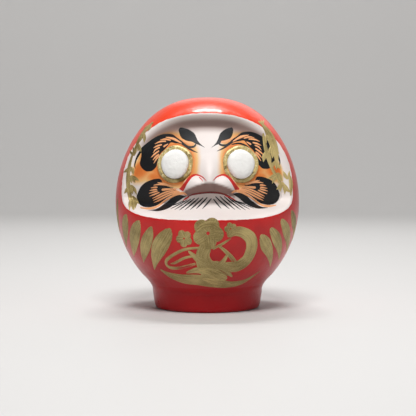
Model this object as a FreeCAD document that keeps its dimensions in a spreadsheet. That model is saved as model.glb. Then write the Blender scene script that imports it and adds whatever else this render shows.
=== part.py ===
"""Daruma doll: a hollow moulded-paper shell in two halves on a round weighted foot.

Millimetres, +Z up, the origin at the middle of the resting face, the doll's face
towards -Y. Each sub-part is written to parts/<label>.step.
"""
import FreeCAD, Part
import math
import os

import Sketcher
from FreeCAD import Placement, Rotation, Vector

DIMS = {
    # outer form: four arcs that run into each other, turned about the upright axis
    "total_height": 160.0,
    "total_width": 140.0,
    "widest_height": 80.5,
    "belly_radius": 84.0,
    "side_radius": 92.0,
    "shoulder_radius": 57.0,
    "crown_radius": 140.0,
    # shell
    "wall": 3.0,
    "face_wall": 4.0,
    "neck_height": 18.5,
    "glue_gap": 0.1,
    # strips of paper pasted inside over the seam
    "strip_thickness": 0.6,
    "strip_width": 14.0,
    "strip_gap": 2.0,
    "strip_start": 26.0,
    "strip_count": 9.0,
    # face opening: a rounded outline, wide and low
    "opening_half_width": 63.0,
    "opening_middle": 90.0,
    "opening_rise": 56.0,
    "opening_fall": 20.0,
    # face: a shallow swelling set back into the opening
    "face_reach": 52.5,
    "face_middle": 100.0,
    "face_curve": 9.1,
    "face_half_width": 68.0,
    "face_rise": 60.4,
    "nose_reach": 7.5,
    "nose_height": 95.5,
    "nose_offset": 1.6,
    "nose_half_width": 10.0,
    "nose_half_height": 7.0,
    # eyes
    "eye_offset": 23.7,
    "eye_shift": 0.45,
    "eye_height": 109.3,
    "eye_yaw": 14.0,
    "eye_pitch": 8.0,
    "eye_disc_radius": 10.4,
    "eye_plug": 3.0,
    "eye_dome": 3.4,
    "eye_seat_depth": 1.6,
    "rim_radius": 13.2,
    "rim_bore_radius": 10.5,
    "rim_height": 4.2,
    "rim_round": 1.2,
    # foot
    "foot_base_radius": 40.0,
    "foot_top_radius": 42.8,
    "foot_bore_radius": 34.0,
    "foot_edge_round": 4.0,
    "foot_shoulder_round": 0.5,
    "spigot_radius": 36.0,
    "spigot_height": 5.5,
    "foot_floor": 3.0,
    "cover_thickness": 1.2,
    "cover_radius": 33.0,
    # weight
    "weight_radius": 31.0,
    "weight_height": 11.0,
    "weight_round": 3.0,
    "bedding_thickness": 0.8,
}

SUB_PARTS = (
    "shell_front", "shell_back", "seam_strips", "foot", "base_cover", "base_weight",
    "weight_bedding", "eye_left", "eye_right", "eye_rim_left", "eye_rim_right",
)
RISE_EXPONENT = 2.3
FALL_EXPONENT = 3.5
HOOD_START = 0.82
SIDE_START = 0.87
CHIN_START = 0.30
WALL_EASE = 1.3
OUTSIDE_SLOPE = 130.0
FACE_GRID = 1.5
SIDE_MARGIN = 3.0
TOP_MARGIN = 3.5
SEAT_REACH = 25.0
STRIP_FAN = 280.0
STRIP_OVERCUT = 1.0
CLEAR = 200.0
EDGE_TOLERANCE = 0.01

doc = FreeCAD.newDocument("daruma_doll")
sheet = doc.addObject("Spreadsheet::Sheet", "dims")


def fill_sheet():
    """Write the driving dimensions, one aliased cell each."""
    for row, (alias, value) in enumerate(DIMS.items(), start=1):
        sheet.set(f"A{row}", alias)
        sheet.set(f"B{row}", str(value))
        sheet.setAlias(f"B{row}", alias)
    doc.recompute()


def amount(terms):
    """Value of a sum of cells such as 'neck_height + spigot_height'."""
    total = 0.0
    sign = 1.0
    for word in terms.split():
        if word in ("+", "-"):
            sign = 1.0 if word == "+" else -1.0
        else:
            total += sign * sheet.get(word)
    return total


def formula(terms):
    """The same sum as an expression on the sheet."""
    return " ".join(word if word in ("+", "-") else "dims." + word for word in terms.split())


def new_body(label):
    """An empty body with its own label."""
    body = doc.addObject("PartDesign::Body", label)
    body.Label = label
    return body


def new_sketch(body, name):
    """A sketch on the body's upright XZ plane."""
    sketch = body.newObject("Sketcher::SketchObject", name)
    plane = next(item for item in body.Origin.OriginFeatures if item.Role == "XZ_Plane")
    sketch.AttachmentSupport = [(plane, "")]
    sketch.MapMode = "FlatFace"
    return sketch


def dimension(sketch, kind, places, terms, name):
    """A named dimension that follows the sheet."""
    sketch.addConstraint(Sketcher.Constraint(kind, *places, amount(terms)))
    index = sketch.ConstraintCount - 1
    sketch.renameConstraint(index, name)
    sketch.setExpression("Constraints." + name, formula(terms))


def polygon(sketch, corners):
    """A closed outline of straight lines through corners given as pairs of sums."""
    points = [Vector(amount(x) if x else 0.0, amount(z) if z else 0.0, 0) for x, z in corners]
    count = len(points)
    for i in range(count):
        sketch.addGeometry(Part.LineSegment(points[i], points[(i + 1) % count]), False)
    for i, (x, z) in enumerate(corners):
        sketch.addConstraint(Sketcher.Constraint("Coincident", i - 1 if i else count - 1, 2, i, 1))
        if x:
            dimension(sketch, "DistanceX", (-1, 1, i, 1), x, f"across_{i}")
        else:
            sketch.addConstraint(Sketcher.Constraint("PointOnObject", i, 1, -2))
        if z:
            dimension(sketch, "DistanceY", (-1, 1, i, 1), z, f"height_{i}")
        else:
            sketch.addConstraint(Sketcher.Constraint("PointOnObject", i, 1, -1))


def revolve(body, sketch):
    """Turn a sketch a full circle about its upright axis."""
    turning = body.newObject("PartDesign::Revolution", sketch.Name + "_turned")
    turning.Profile = sketch
    turning.ReferenceAxis = (sketch, ["V_Axis"])
    turning.Angle = 360.0
    doc.recompute()
    return turning


def round_edges(body, base, circles, radius):
    """Round the circular edges of base with the given (radius, height) pairs."""
    names = []
    for number, edge in enumerate(base.Shape.Edges, start=1):
        if not isinstance(edge.Curve, Part.Circle):
            continue
        for wide, high in circles:
            apart = math.dist((edge.Curve.Radius, edge.Curve.Center.z), (wide, high))
            if apart < EDGE_TOLERANCE:
                names.append(f"Edge{number}")
    fillet = body.newObject("PartDesign::Fillet", body.Label + "_" + radius)
    fillet.Base = (base, names)
    fillet.setExpression("Radius", "dims." + radius)
    doc.recompute()
    return fillet


def polar(centre, radius, angle):
    """The point at an angle on a circle."""
    return centre[0] + radius * math.cos(angle), centre[1] + radius * math.sin(angle)


def form_arcs(inset):
    """(centre, radius, start, end) of the belly, side, shoulder and crown arcs."""
    half = amount("total_width") / 2
    wide = amount("widest_height")
    belly, side = amount("belly_radius"), amount("side_radius")
    shoulder, crown = amount("shoulder_radius"), amount("crown_radius")
    belly_centre = (half - belly, wide)
    side_centre = (half - side, wide)
    crown_centre = (0.0, amount("total_height") - crown)
    run = math.dist(side_centre, crown_centre)
    from_side, from_crown = side - shoulder, crown - shoulder
    along = (from_side ** 2 - from_crown ** 2 + run ** 2) / (2 * run)
    off = math.sqrt(from_side ** 2 - along ** 2)
    ux = (crown_centre[0] - side_centre[0]) / run
    uz = (crown_centre[1] - side_centre[1]) / run
    shoulder_centre = (side_centre[0] + ux * along - uz * off, side_centre[1] + uz * along + ux * off)
    if shoulder_centre[0] < side_centre[0] + ux * along:
        shoulder_centre = (side_centre[0] + ux * along + uz * off, side_centre[1] + uz * along - ux * off)
    low = math.atan2(shoulder_centre[1] - side_centre[1], shoulder_centre[0] - side_centre[0])
    top = math.atan2(shoulder_centre[1] - crown_centre[1], shoulder_centre[0] - crown_centre[0])
    neck = -math.asin((wide - amount("neck_height")) / (belly - inset))
    return (
        (belly_centre, belly - inset, neck, 0.0),
        (side_centre, side - inset, 0.0, low),
        (shoulder_centre, shoulder - inset, low, top),
        (crown_centre, crown - inset, top, math.pi / 2),
    )


def form_body(label, inset_terms=""):
    """The doll's outer form, or the same form set in by a sum of cells."""
    inset = amount(inset_terms) if inset_terms else 0.0
    less = "".join(" - " + word for word in inset_terms.split(" + ") if word)
    body = new_body(label)
    sketch = new_sketch(body, label + "_profile")
    arcs = form_arcs(inset)
    for centre, radius, start, end in arcs:
        circle = Part.Circle(Vector(*centre, 0), Vector(0, 0, 1), radius)
        sketch.addGeometry(Part.ArcOfCircle(circle, start, end), False)
    crown = Vector(0, amount("total_height") - inset, 0)
    neck = Vector(0, amount("neck_height"), 0)
    edge = Vector(*polar(arcs[0][0], arcs[0][1], arcs[0][2]), 0)
    sketch.addGeometry(Part.LineSegment(crown, neck), False)
    sketch.addGeometry(Part.LineSegment(neck, edge), False)
    for first in (0, 1, 2):
        sketch.addConstraint(Sketcher.Constraint("Tangent", first, 2, first + 1, 1))
    sketch.addConstraint(Sketcher.Constraint("Coincident", 3, 2, 4, 1))
    sketch.addConstraint(Sketcher.Constraint("Coincident", 4, 2, 5, 1))
    sketch.addConstraint(Sketcher.Constraint("Coincident", 5, 2, 0, 1))
    sketch.addConstraint(Sketcher.Constraint("PointOnObject", 3, 3, -2))
    sketch.addConstraint(Sketcher.Constraint("PointOnObject", 4, 1, -2))
    sketch.addConstraint(Sketcher.Constraint("PointOnObject", 4, 2, -2))
    sketch.addConstraint(Sketcher.Constraint("Horizontal", 5))
    for index, word in enumerate(("belly_radius", "side_radius", "shoulder_radius", "crown_radius")):
        dimension(sketch, "Radius", (index,), word + less, word)
    dimension(sketch, "DistanceY", (-1, 1, 4, 1), "total_height" + less, "top")
    dimension(sketch, "DistanceY", (-1, 1, 4, 2), "neck_height", "neck")
    dimension(sketch, "DistanceY", (-1, 1, 1, 1), "widest_height", "widest")
    dimension(sketch, "DistanceY", (-1, 1, 1, 3), "widest_height", "side_centre")
    sketch.addConstraint(Sketcher.Constraint("DistanceX", -1, 1, 1, 1, amount("total_width") / 2 - inset))
    sketch.renameConstraint(sketch.ConstraintCount - 1, "half_width")
    sketch.setExpression("Constraints.half_width", "dims.total_width / 2" + formula(less))
    revolve(body, sketch)
    return body


def form_radius(height):
    """Radius of the outer form at a height above the neck."""
    for centre, radius, start, end in form_arcs(0.0):
        if height <= polar(centre, radius, end)[1]:
            return centre[0] + math.sqrt(max(radius ** 2 - (height - centre[1]) ** 2, 0.0))
    return 0.0


def opening_level(x, height, grow):
    """0 at the middle of the face opening and 1 on its outline, with the side share."""
    rise = height >= amount("opening_middle")
    exponent = RISE_EXPONENT if rise else FALL_EXPONENT
    reach = amount("opening_rise" if rise else "opening_fall") + grow
    across = (abs(x) / (amount("opening_half_width") + grow)) ** exponent
    upright = (abs(height - amount("opening_middle")) / reach) ** exponent
    total = max(across + upright, 1e-9)
    return total ** (1 / exponent), across / total, rise


def face_depth(x, height, grow):
    """y of the carved face: a swelling, joined to the outer form on the outline.

    Inside the outline the swelling runs into the outer form along a sloping wall, and
    outside it the surface stays in front of the outer form, so that it carves nothing.
    """
    level, side, rise = opening_level(x, height, grow)
    outer = -math.sqrt(max(form_radius(height) ** 2 - x ** 2, 0.0))
    if level >= 1.0:
        return outer - OUTSIDE_SLOPE * (level - 1.0)
    lift = max(height - amount("opening_middle"), 0.0) / amount("face_rise")
    half = amount("face_half_width") * max(1 - lift ** RISE_EXPONENT, 0.01) ** (1 / RISE_EXPONENT)
    reach = amount("face_reach") - ((height - amount("face_middle")) / amount("face_curve")) ** 2
    swelling = -reach * math.sqrt(max(1 - (x / half) ** 2, 0.0))
    aside = (x - amount("nose_offset")) / amount("nose_half_width")
    above = (height - amount("nose_height")) / amount("nose_half_height")
    swelling -= amount("nose_reach") * math.exp(-(aside ** 2) - above ** 2)
    start = (HOOD_START if rise else CHIN_START) * (1 - side) + SIDE_START * side
    wall = max((level - start) / (1 - start), 0.0) ** WALL_EASE
    return min(swelling, 0.0) + (outer - swelling) * wall


def face_tool(name, grow):
    """The space in front of the carved face, as a solid."""
    wide = amount("opening_half_width") + SIDE_MARGIN
    low = amount("opening_middle") - amount("opening_fall") - SIDE_MARGIN
    high = amount("opening_middle") + amount("opening_rise") + TOP_MARGIN
    across = 2 * round(wide / FACE_GRID)
    upright = round((high - low) / FACE_GRID)
    rows = []
    for j in range(upright + 1):
        height = low + (high - low) * j / upright
        row = []
        for i in range(across + 1):
            x = wide * (2 * i / across - 1)
            row.append(Vector(x, face_depth(x, height, grow) + grow, height))
        rows.append(row)
    surface = Part.BSplineSurface()
    surface.interpolate(rows)
    tool = doc.addObject("Part::Feature", name)
    tool.Shape = surface.toShape().extrude(Vector(0, -CLEAR, 0))
    return tool


def block(name, low, high):
    """A box between two corners."""
    box = doc.addObject("Part::Box", name)
    box.Length, box.Width, box.Height = high[0] - low[0], high[1] - low[1], high[2] - low[2]
    box.Placement = Placement(Vector(*low), Rotation())
    return box


def boolean(kind, name, base, tool):
    """A Part cut or common of two objects."""
    result = doc.addObject(kind, name)
    result.Base = base
    result.Tool = tool
    doc.recompute()
    return result


def eye_placement(side):
    """Where an eye's seat lies: z of the eye's own frame points out of the face."""
    x = side * amount("eye_offset") + amount("eye_shift")
    height = amount("eye_height")
    turn = Rotation(Vector(0, 0, 1), side * amount("eye_yaw"))
    tip = Rotation(Vector(1, 0, 0), 90 - amount("eye_pitch"))
    facing = turn * tip
    on_face = Vector(x, face_depth(x, height, 0.0), height)
    return Placement(on_face - facing.multVec(Vector(0, 0, amount("eye_seat_depth"))), facing)


def eye_seats():
    """Two round pockets that take the eyes and their rims."""
    seats = []
    for side in (-1, 1):
        seat = doc.addObject("Part::Cylinder", "eye_seat")
        seat.setExpression("Radius", "dims.rim_radius + dims.glue_gap")
        seat.Height = SEAT_REACH
        seat.Placement = eye_placement(side)
        seats.append(seat)
    group = doc.addObject("Part::Compound", "eye_seats")
    group.Links = seats
    doc.recompute()
    return group


def make_shell():
    """The two halves of the shell, split on the plane through the doll's sides."""
    outer = form_body("outer_form")
    inner = form_body("inner_form", "wall")
    carving = face_tool("face_carving", 0.0)
    backing = face_tool("face_backing", amount("face_wall"))
    front_space = block("front_space", (-CLEAR, -CLEAR, 0), (CLEAR, 0, CLEAR))
    back_space = block("back_space", (-CLEAR, 0, 0), (CLEAR, CLEAR, CLEAR))
    carved = boolean("Part::Cut", "carved_form", outer, carving)
    cavity = boolean("Part::Cut", "cavity", inner, backing)
    hollow = boolean("Part::Cut", "hollow_form", carved, cavity)
    front = boolean("Part::Common", "front_half", hollow, front_space)
    boolean("Part::Cut", "shell_front", front, eye_seats())
    plain = boolean("Part::Cut", "plain_form", outer, inner)
    boolean("Part::Common", "shell_back", plain, back_space)


def make_seam_strips():
    """Short strips of paper pasted inside, one after another, across the seam."""
    outer = form_body("strip_outside", "wall + glue_gap")
    inner = form_body("strip_inside", "wall + glue_gap + strip_thickness")
    lining = boolean("Part::Cut", "strip_lining", outer, inner)
    half = amount("strip_width") / 2
    band_space = block("band_space", (-CLEAR, -half, amount("strip_start")), (CLEAR, half, CLEAR))
    band = boolean("Part::Common", "strip_band", lining, band_space)
    gaps = []
    count = int(amount("strip_count"))
    gap = amount("strip_gap")
    reach = half + STRIP_OVERCUT
    for i in range(1, count):
        angle = STRIP_FAN * (i / count - 0.5)
        cutter = block("strip_gap", (-gap / 2, -reach, 0), (gap / 2, reach, CLEAR))
        turn = Rotation(Vector(0, 1, 0), angle)
        middle = Vector(0, 0, amount("widest_height"))
        cutter.Placement = Placement(middle, turn).multiply(cutter.Placement)
        gaps.append(cutter)
    cutters = doc.addObject("Part::Compound", "strip_gaps")
    cutters.Links = gaps
    boolean("Part::Cut", "seam_strips", band, cutters)


def make_foot():
    """A round dish with a spigot that plugs the neck of the shell."""
    body = new_body("foot")
    sketch = new_sketch(body, "foot_profile")
    polygon(sketch, (
        ("", "cover_thickness"),
        ("cover_radius + glue_gap", "cover_thickness"),
        ("cover_radius + glue_gap", ""),
        ("foot_base_radius", ""),
        ("foot_top_radius", "neck_height"),
        ("spigot_radius", "neck_height"),
        ("spigot_radius", "neck_height + spigot_height"),
        ("foot_bore_radius", "neck_height + spigot_height"),
        ("foot_bore_radius", "cover_thickness + foot_floor"),
        ("", "cover_thickness + foot_floor"),
    ))
    turned = revolve(body, sketch)
    base_edge = [(amount("foot_base_radius"), 0.0)]
    lower = round_edges(body, turned, base_edge, "foot_edge_round")
    top_edge = [(amount("foot_top_radius"), amount("neck_height"))]
    round_edges(body, lower, top_edge, "foot_shoulder_round")


def make_disc(label, radius, low, high):
    """A plain disc between two heights."""
    body = new_body(label)
    sketch = new_sketch(body, label + "_profile")
    polygon(sketch, (("", low), (radius, low), (radius, high), ("", high)))
    return body, revolve(body, sketch)


def make_weight():
    """The clay weight on its bed of glue, and the paper disc under the foot."""
    make_disc("base_cover", "cover_radius", "", "cover_thickness")
    floor = "cover_thickness + foot_floor"
    make_disc("weight_bedding", "weight_radius", floor, floor + " + bedding_thickness")
    low = floor + " + bedding_thickness"
    body, turned = make_disc("base_weight", "weight_radius", low, low + " + weight_height")
    top_edge = [(amount("weight_radius"), amount(low + " + weight_height"))]
    round_edges(body, turned, top_edge, "weight_round")


def make_eye(label, side):
    """A white domed disc: an upright plug with a shallow cap of a sphere."""
    body = new_body(label)
    sketch = new_sketch(body, label + "_profile")
    radius, plug = amount("eye_disc_radius"), amount("eye_plug")
    dome = amount("eye_dome")
    sphere = (radius ** 2 + dome ** 2) / (2 * dome)
    centre = plug + dome - sphere
    start = math.asin((plug - centre) / sphere)
    circle = Part.Circle(Vector(0, centre, 0), Vector(0, 0, 1), sphere)
    sketch.addGeometry(Part.LineSegment(Vector(0, 0, 0), Vector(radius, 0, 0)), False)
    sketch.addGeometry(Part.LineSegment(Vector(radius, 0, 0), Vector(radius, plug, 0)), False)
    sketch.addGeometry(Part.ArcOfCircle(circle, start, math.pi / 2), False)
    sketch.addGeometry(Part.LineSegment(Vector(0, plug + dome, 0), Vector(0, 0, 0)), False)
    for first, second in ((0, 1), (1, 2), (2, 3), (3, 0)):
        sketch.addConstraint(Sketcher.Constraint("Coincident", first, 2, second, 1))
    sketch.addConstraint(Sketcher.Constraint("Coincident", 0, 1, -1, 1))
    sketch.addConstraint(Sketcher.Constraint("Horizontal", 0))
    sketch.addConstraint(Sketcher.Constraint("Vertical", 1))
    sketch.addConstraint(Sketcher.Constraint("Vertical", 3))
    sketch.addConstraint(Sketcher.Constraint("PointOnObject", 2, 3, -2))
    dimension(sketch, "DistanceX", (-1, 1, 0, 2), "eye_disc_radius", "across")
    dimension(sketch, "DistanceY", (-1, 1, 1, 2), "eye_plug", "plug")
    dimension(sketch, "DistanceY", (-1, 1, 2, 2), "eye_plug + eye_dome", "apex")
    revolve(body, sketch)
    body.Placement = eye_placement(side)


def make_eye_rim(label, side):
    """The raised gold ring round an eye."""
    body = new_body(label)
    sketch = new_sketch(body, label + "_profile")
    polygon(sketch, (
        ("rim_bore_radius", ""),
        ("rim_radius", ""),
        ("rim_radius", "rim_height"),
        ("rim_bore_radius", "rim_height"),
    ))
    turned = revolve(body, sketch)
    height = amount("rim_height")
    edges = [(amount("rim_radius"), height), (amount("rim_bore_radius"), height)]
    round_edges(body, turned, edges, "rim_round")
    body.Placement = eye_placement(side)


def write_parts():
    """Check every object, then write one STEP file for each sub-part."""
    doc.recompute()
    for item in doc.Objects:
        if "Invalid" in item.State or "Error" in item.State:
            raise RuntimeError(item.Label + " failed to build")
    shapes = {}
    for label in SUB_PARTS:
        shape = doc.getObjectsByLabel(label)[0].Shape
        if shape.isNull() or not shape.isValid() or not shape.Solids:
            raise RuntimeError(label + " has no sound shape")
        shapes[label] = shape
    os.makedirs("parts", exist_ok=True)
    for label, shape in shapes.items():
        shape.exportStep(f"parts/{label}.step")
        print(f"{label:16s} {len(shape.Solids)} solids {shape.Volume / 1000:9.2f} cm3")


fill_sheet()
make_shell()
make_seam_strips()
make_foot()
make_weight()
make_eye("eye_right", -1)
make_eye("eye_left", 1)
make_eye_rim("eye_rim_right", -1)
make_eye_rim("eye_rim_left", 1)
write_parts()
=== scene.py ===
import math

import bmesh
import bpy
import numpy as np
from bpy.props import FloatProperty, FloatVectorProperty, PointerProperty
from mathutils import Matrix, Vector


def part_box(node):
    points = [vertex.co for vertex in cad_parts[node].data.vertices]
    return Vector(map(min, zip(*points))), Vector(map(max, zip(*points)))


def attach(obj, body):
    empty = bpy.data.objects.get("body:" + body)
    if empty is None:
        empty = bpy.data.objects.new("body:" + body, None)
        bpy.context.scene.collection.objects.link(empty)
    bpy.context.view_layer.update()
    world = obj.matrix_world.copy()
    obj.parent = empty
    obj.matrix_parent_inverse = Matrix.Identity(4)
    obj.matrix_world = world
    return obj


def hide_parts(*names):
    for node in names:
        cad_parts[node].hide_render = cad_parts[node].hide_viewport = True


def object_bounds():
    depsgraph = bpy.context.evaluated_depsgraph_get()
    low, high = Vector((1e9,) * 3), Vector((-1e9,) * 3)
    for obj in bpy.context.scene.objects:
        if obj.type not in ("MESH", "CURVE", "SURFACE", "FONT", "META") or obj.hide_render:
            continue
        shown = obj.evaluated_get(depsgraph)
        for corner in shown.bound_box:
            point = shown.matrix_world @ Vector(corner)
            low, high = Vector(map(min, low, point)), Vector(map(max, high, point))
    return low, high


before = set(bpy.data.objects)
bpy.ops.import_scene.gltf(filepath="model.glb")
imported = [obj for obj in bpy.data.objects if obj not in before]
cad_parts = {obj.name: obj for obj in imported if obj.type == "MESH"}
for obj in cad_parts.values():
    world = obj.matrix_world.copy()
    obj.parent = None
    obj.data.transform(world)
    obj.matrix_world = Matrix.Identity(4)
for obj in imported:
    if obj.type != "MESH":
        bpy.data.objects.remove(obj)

bl_info = {
    "name": "Daruma Doll",
    "version": (1, 0, 0),
    "blender": (4, 5, 0),
    "location": "View3D > Sidebar > Daruma",
    "description": "A lacquered and painted moulded-paper doll round its packed frame",
    "category": "Add Mesh",
}

MM = 0.001

# Steps across and up the front skin, across the back one, and how many times coarser the insides
# are.

FRONT_STEPS, BACK_STEPS, COARSER = (356, 236), 200, 4

# The frame's box, and the places and sizes that its pieces fix.

CAD_LOW, CAD_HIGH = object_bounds()
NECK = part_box("shell_back")[0].z
LEFT_EYE, RIGHT_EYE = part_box("eye_left"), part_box("eye_right")
FOOT_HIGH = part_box("foot")[1]
COVER_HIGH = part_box("base_cover")[1]


# ---------------------------------------------------------------- settings

def length(name, description, default):
    """A distance in metres."""
    return FloatProperty(name=name, description=description, default=default,
                         unit="LENGTH", subtype="DISTANCE", precision=5)


def turn(name, description, degrees):
    """An angle."""
    return FloatProperty(name=name, description=description,
                         default=math.radians(degrees), unit="ROTATION", subtype="ANGLE")


def colour(name, description, default):
    """A paint colour, linear RGB."""
    return FloatVectorProperty(name=name, description=description, default=default,
                               size=3, min=0.0, max=1.0, subtype="COLOR")


class DarumaForm(bpy.types.PropertyGroup):
    """Outer form of the shell: four arcs turned about the upright axis."""
    height: length("Height", "Foot to crown", CAD_HIGH.z - CAD_LOW.z)
    width: length("Width", "Across the widest part", CAD_HIGH.x - CAD_LOW.x)
    neck_height: length("Neck height", "Where the shell meets the foot", NECK)
    widest_height: length("Widest height", "Height of the widest part", 0.0805)
    belly_radius: length("Belly radius", "Arc below the widest part", 0.084)
    side_radius: length("Side radius", "Arc above the widest part", 0.092)
    shoulder_radius: length("Shoulder radius", "Arc over the shoulder", 0.057)
    crown_radius: length("Crown radius", "Arc over the crown", 0.140)
    wall: length("Wall", "Thickness of the moulded paper", 0.003)
    fillet: length("Fillet", "Softness of the hollow where the belly meets the foot", 0.0055)


class DarumaFace(bpy.types.PropertyGroup):
    """The set-back face and its opening."""
    half_width: length("Half width", "Half the width of the opening", 0.063)
    middle: length("Middle", "Height at which the opening is widest", 0.090)
    rise: length("Rise", "Opening above its widest height", 0.056)
    fall: length("Fall", "Opening below its widest height", 0.020)
    reach: length("Reach", "How far the face swells forward", 0.0525)
    bulge: length("Bulge height", "Height of the face's most forward line", 0.100)
    curve: length("Curve", "Upright curvature of the face", 0.0091)
    swell_width: length("Swelling half width", "Half width of the swelling", 0.068)
    swell_rise: length("Swelling rise", "Height of the swelling", 0.0604)
    lean: length("Nose lean", "How far the nose stands to one side", 0.0016)
    rim_round: length("Rim rounding", "Softness of the opening's rim", 0.0032)


class DarumaEyes(bpy.types.PropertyGroup):
    """The two blank eyes."""
    left: length("Left eye", "Left eye to middle plane", (LEFT_EYE[0].x + LEFT_EYE[1].x) / 2)
    right: length("Right eye", "Right eye to middle plane",
                  -(RIGHT_EYE[0].x + RIGHT_EYE[1].x) / 2)
    height: length("Height", "Height of the eye's middle", (LEFT_EYE[0].z + LEFT_EYE[1].z) / 2)
    radius: length("Radius", "White disc", 0.0102)
    tall: FloatProperty(name="Tall", description="Height of the disc over its width", default=1.05)
    ring: length("Ring radius", "Outside of the gold ring", 0.0131)
    dome: length("Dome", "How far the white disc domes", 0.0046)
    crest: length("Crest", "How far the gold ring stands out", 0.0008)
    yaw: turn("Yaw", "Outward turn", 14.0)
    pitch: turn("Pitch", "Upward turn", 8.0)


class DarumaPaint(bpy.types.PropertyGroup):
    """Colours of the paints."""
    red: colour("Lacquer red", "Body lacquer", (0.62, 0.007, 0.005))
    deep_red: colour("Deep red", "Lacquer where it lies thick", (0.40, 0.003, 0.004))
    # Painted light and shade: the crown red is brighter and the foot red darker, as light from above
    # falls.
    crown_painted_light_red: colour("Crown red", "Lacquer at the crown, brighter", (0.76, 0.050, 0.008))
    foot_painted_shade_red: colour("Foot red", "Lacquer at the foot, darker", (0.29, 0.0015, 0.006))
    white: colour("Face white", "Chalk white of the face", (0.78, 0.71, 0.68))
    orange: colour("Blush orange", "Airbrushed orange", (0.72, 0.21, 0.045))
    yellow: colour("Blush yellow", "Thin edge of the orange", (0.79, 0.48, 0.19))
    ink: colour("Ink", "Black brush work", (0.006, 0.0065, 0.008))
    peach: colour("Peach", "Light brush lines", (0.80, 0.34, 0.14))
    line_red: colour("Line red", "Red brush lines", (0.55, 0.012, 0.010))
    mouth_red: colour("Mouth red", "Dark red of the mouth line", (0.11, 0.003, 0.003))
    gold: colour("Gold", "Gold paint", (0.52, 0.41, 0.17))
    pale_gold: colour("Pale gold", "Gold paint on the rim", (0.68, 0.53, 0.22))
    dark_gold: colour("Dark gold", "Gold paint where it lies thin", (0.19, 0.135, 0.04))
    eye_white: colour("Eye white", "Chalk white of the eyes", (0.86, 0.85, 0.82))
    paper: colour("Paper", "Bare paper", (0.62, 0.54, 0.41))
    clay: colour("Clay", "Dried clay", (0.32, 0.23, 0.16))
    glue: colour("Glue", "Dried glue", (0.62, 0.55, 0.42))


class DarumaStage(bpy.types.PropertyGroup):
    """Camera, floor and light."""
    distance: length("Camera distance", "From the doll's upright axis", 0.850)
    eye_level: length("Camera height", "Above the floor", 0.107)
    aside: length("Camera aside", "To the right of the middle plane", 0.0005)
    tilt: turn("Camera tilt", "Downward tilt", 2.1)
    lens: FloatProperty(name="Lens", description="Focal length on a 36 mm sensor",
                        default=96.1, subtype="DISTANCE_CAMERA")
    floor: colour("Floor", "Pale floor", (0.62, 0.61, 0.60))


GROUPS = (DarumaForm, DarumaFace, DarumaEyes, DarumaPaint, DarumaStage)


class DarumaSettings(bpy.types.PropertyGroup):
    """All the settings of the doll."""
    form: PointerProperty(type=DarumaForm)
    face: PointerProperty(type=DarumaFace)
    eyes: PointerProperty(type=DarumaEyes)
    paint: PointerProperty(type=DarumaPaint)
    stage: PointerProperty(type=DarumaStage)


# ---------------------------------------------------------------- form

def smooth_step(value, low, high):
    """0 below low, 1 above high, and 3t^2 - 2t^3 between them."""
    t = np.clip((value - low) / (high - low), 0.0, 1.0)
    return t * t * (3.0 - 2.0 * t)


def fade(value, low, high):
    """1 below low and 0 above high, smooth between them."""
    return 1.0 - smooth_step(value, low, high)


def ellipse(x, z, spot):
    """((x - out) / wide)^2 + ((z - up) / tall)^2 for a spot (out, up, wide, tall) in millimetres."""
    out, up, wide, tall = spot
    return ((x - out * MM) / (wide * MM)) ** 2 + ((z - up * MM) / (tall * MM)) ** 2


def soft_max(a, b, softness):
    """The larger of two values, with the corner where they cross rounded off.

    Polynomial blend: with t = 1/2 + (a - b) / (2 softness), kept between 0 and 1, the result is
    b + (a - b) t + softness t (1 - t) / 2.
    """
    t = np.clip(0.5 + 0.5 * (a - b) / softness, 0.0, 1.0)
    return b + (a - b) * t + 0.5 * softness * t * (1.0 - t)


def form_arcs(form, inset=0.0):
    """(centre, radius, start angle, end angle) of the belly, side, shoulder and crown arcs.

    Belly and side arcs share the widest point. The shoulder's centre lies where a circle of
    side - shoulder round the side's centre meets one of crown - shoulder round the crown's,
    so that each arc runs into the next.
    """
    side = np.array((form.width / 2 - form.side_radius, form.widest_height))
    belly = np.array((form.width / 2 - form.belly_radius, form.widest_height))
    crown = np.array((0.0, form.height - form.crown_radius))
    run = np.linalg.norm(crown - side)
    from_side = form.side_radius - form.shoulder_radius
    from_crown = form.crown_radius - form.shoulder_radius
    along = (from_side ** 2 - from_crown ** 2 + run ** 2) / (2 * run)
    unit = (crown - side) / run
    off = math.sqrt(from_side ** 2 - along ** 2)
    shoulder = side + unit * along + np.array((-unit[1], unit[0])) * off
    low = math.atan2(*(shoulder - side)[::-1])
    top = math.atan2(*(shoulder - crown)[::-1])
    neck = -math.asin((form.widest_height - form.neck_height) / (form.belly_radius - inset))
    return (
        (belly, form.belly_radius - inset, neck, 0.0),
        (side, form.side_radius - inset, 0.0, low),
        (shoulder, form.shoulder_radius - inset, low, top),
        (crown, form.crown_radius - inset, top, math.pi / 2),
    )


FOOT_NECK, FOOT_FLARE = 42.7 * MM, 0.15


def foot_radius(z, inset=0.0):
    """Radius of the foot's side at a height: a straight flare."""
    return FOOT_NECK + FOOT_FLARE * (z - NECK) - inset


def form_radius(form, z, inset=0.0):
    """Radius at a height: centre + square root of (arc radius^2 - rise^2) on the arc there, run
    softly into the foot's side."""
    radius = np.zeros_like(z)
    for centre, size, _, end in reversed(form_arcs(form, inset)):
        here = centre[0] + np.sqrt(np.maximum(size ** 2 - (z - centre[1]) ** 2, 0.0))
        radius = np.where(z <= centre[1] + size * math.sin(end) + 1e-9, here, radius)
    filled = soft_max(radius, foot_radius(z, inset), form.fillet)
    return np.where(z < form.widest_height, filled, radius)


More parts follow.
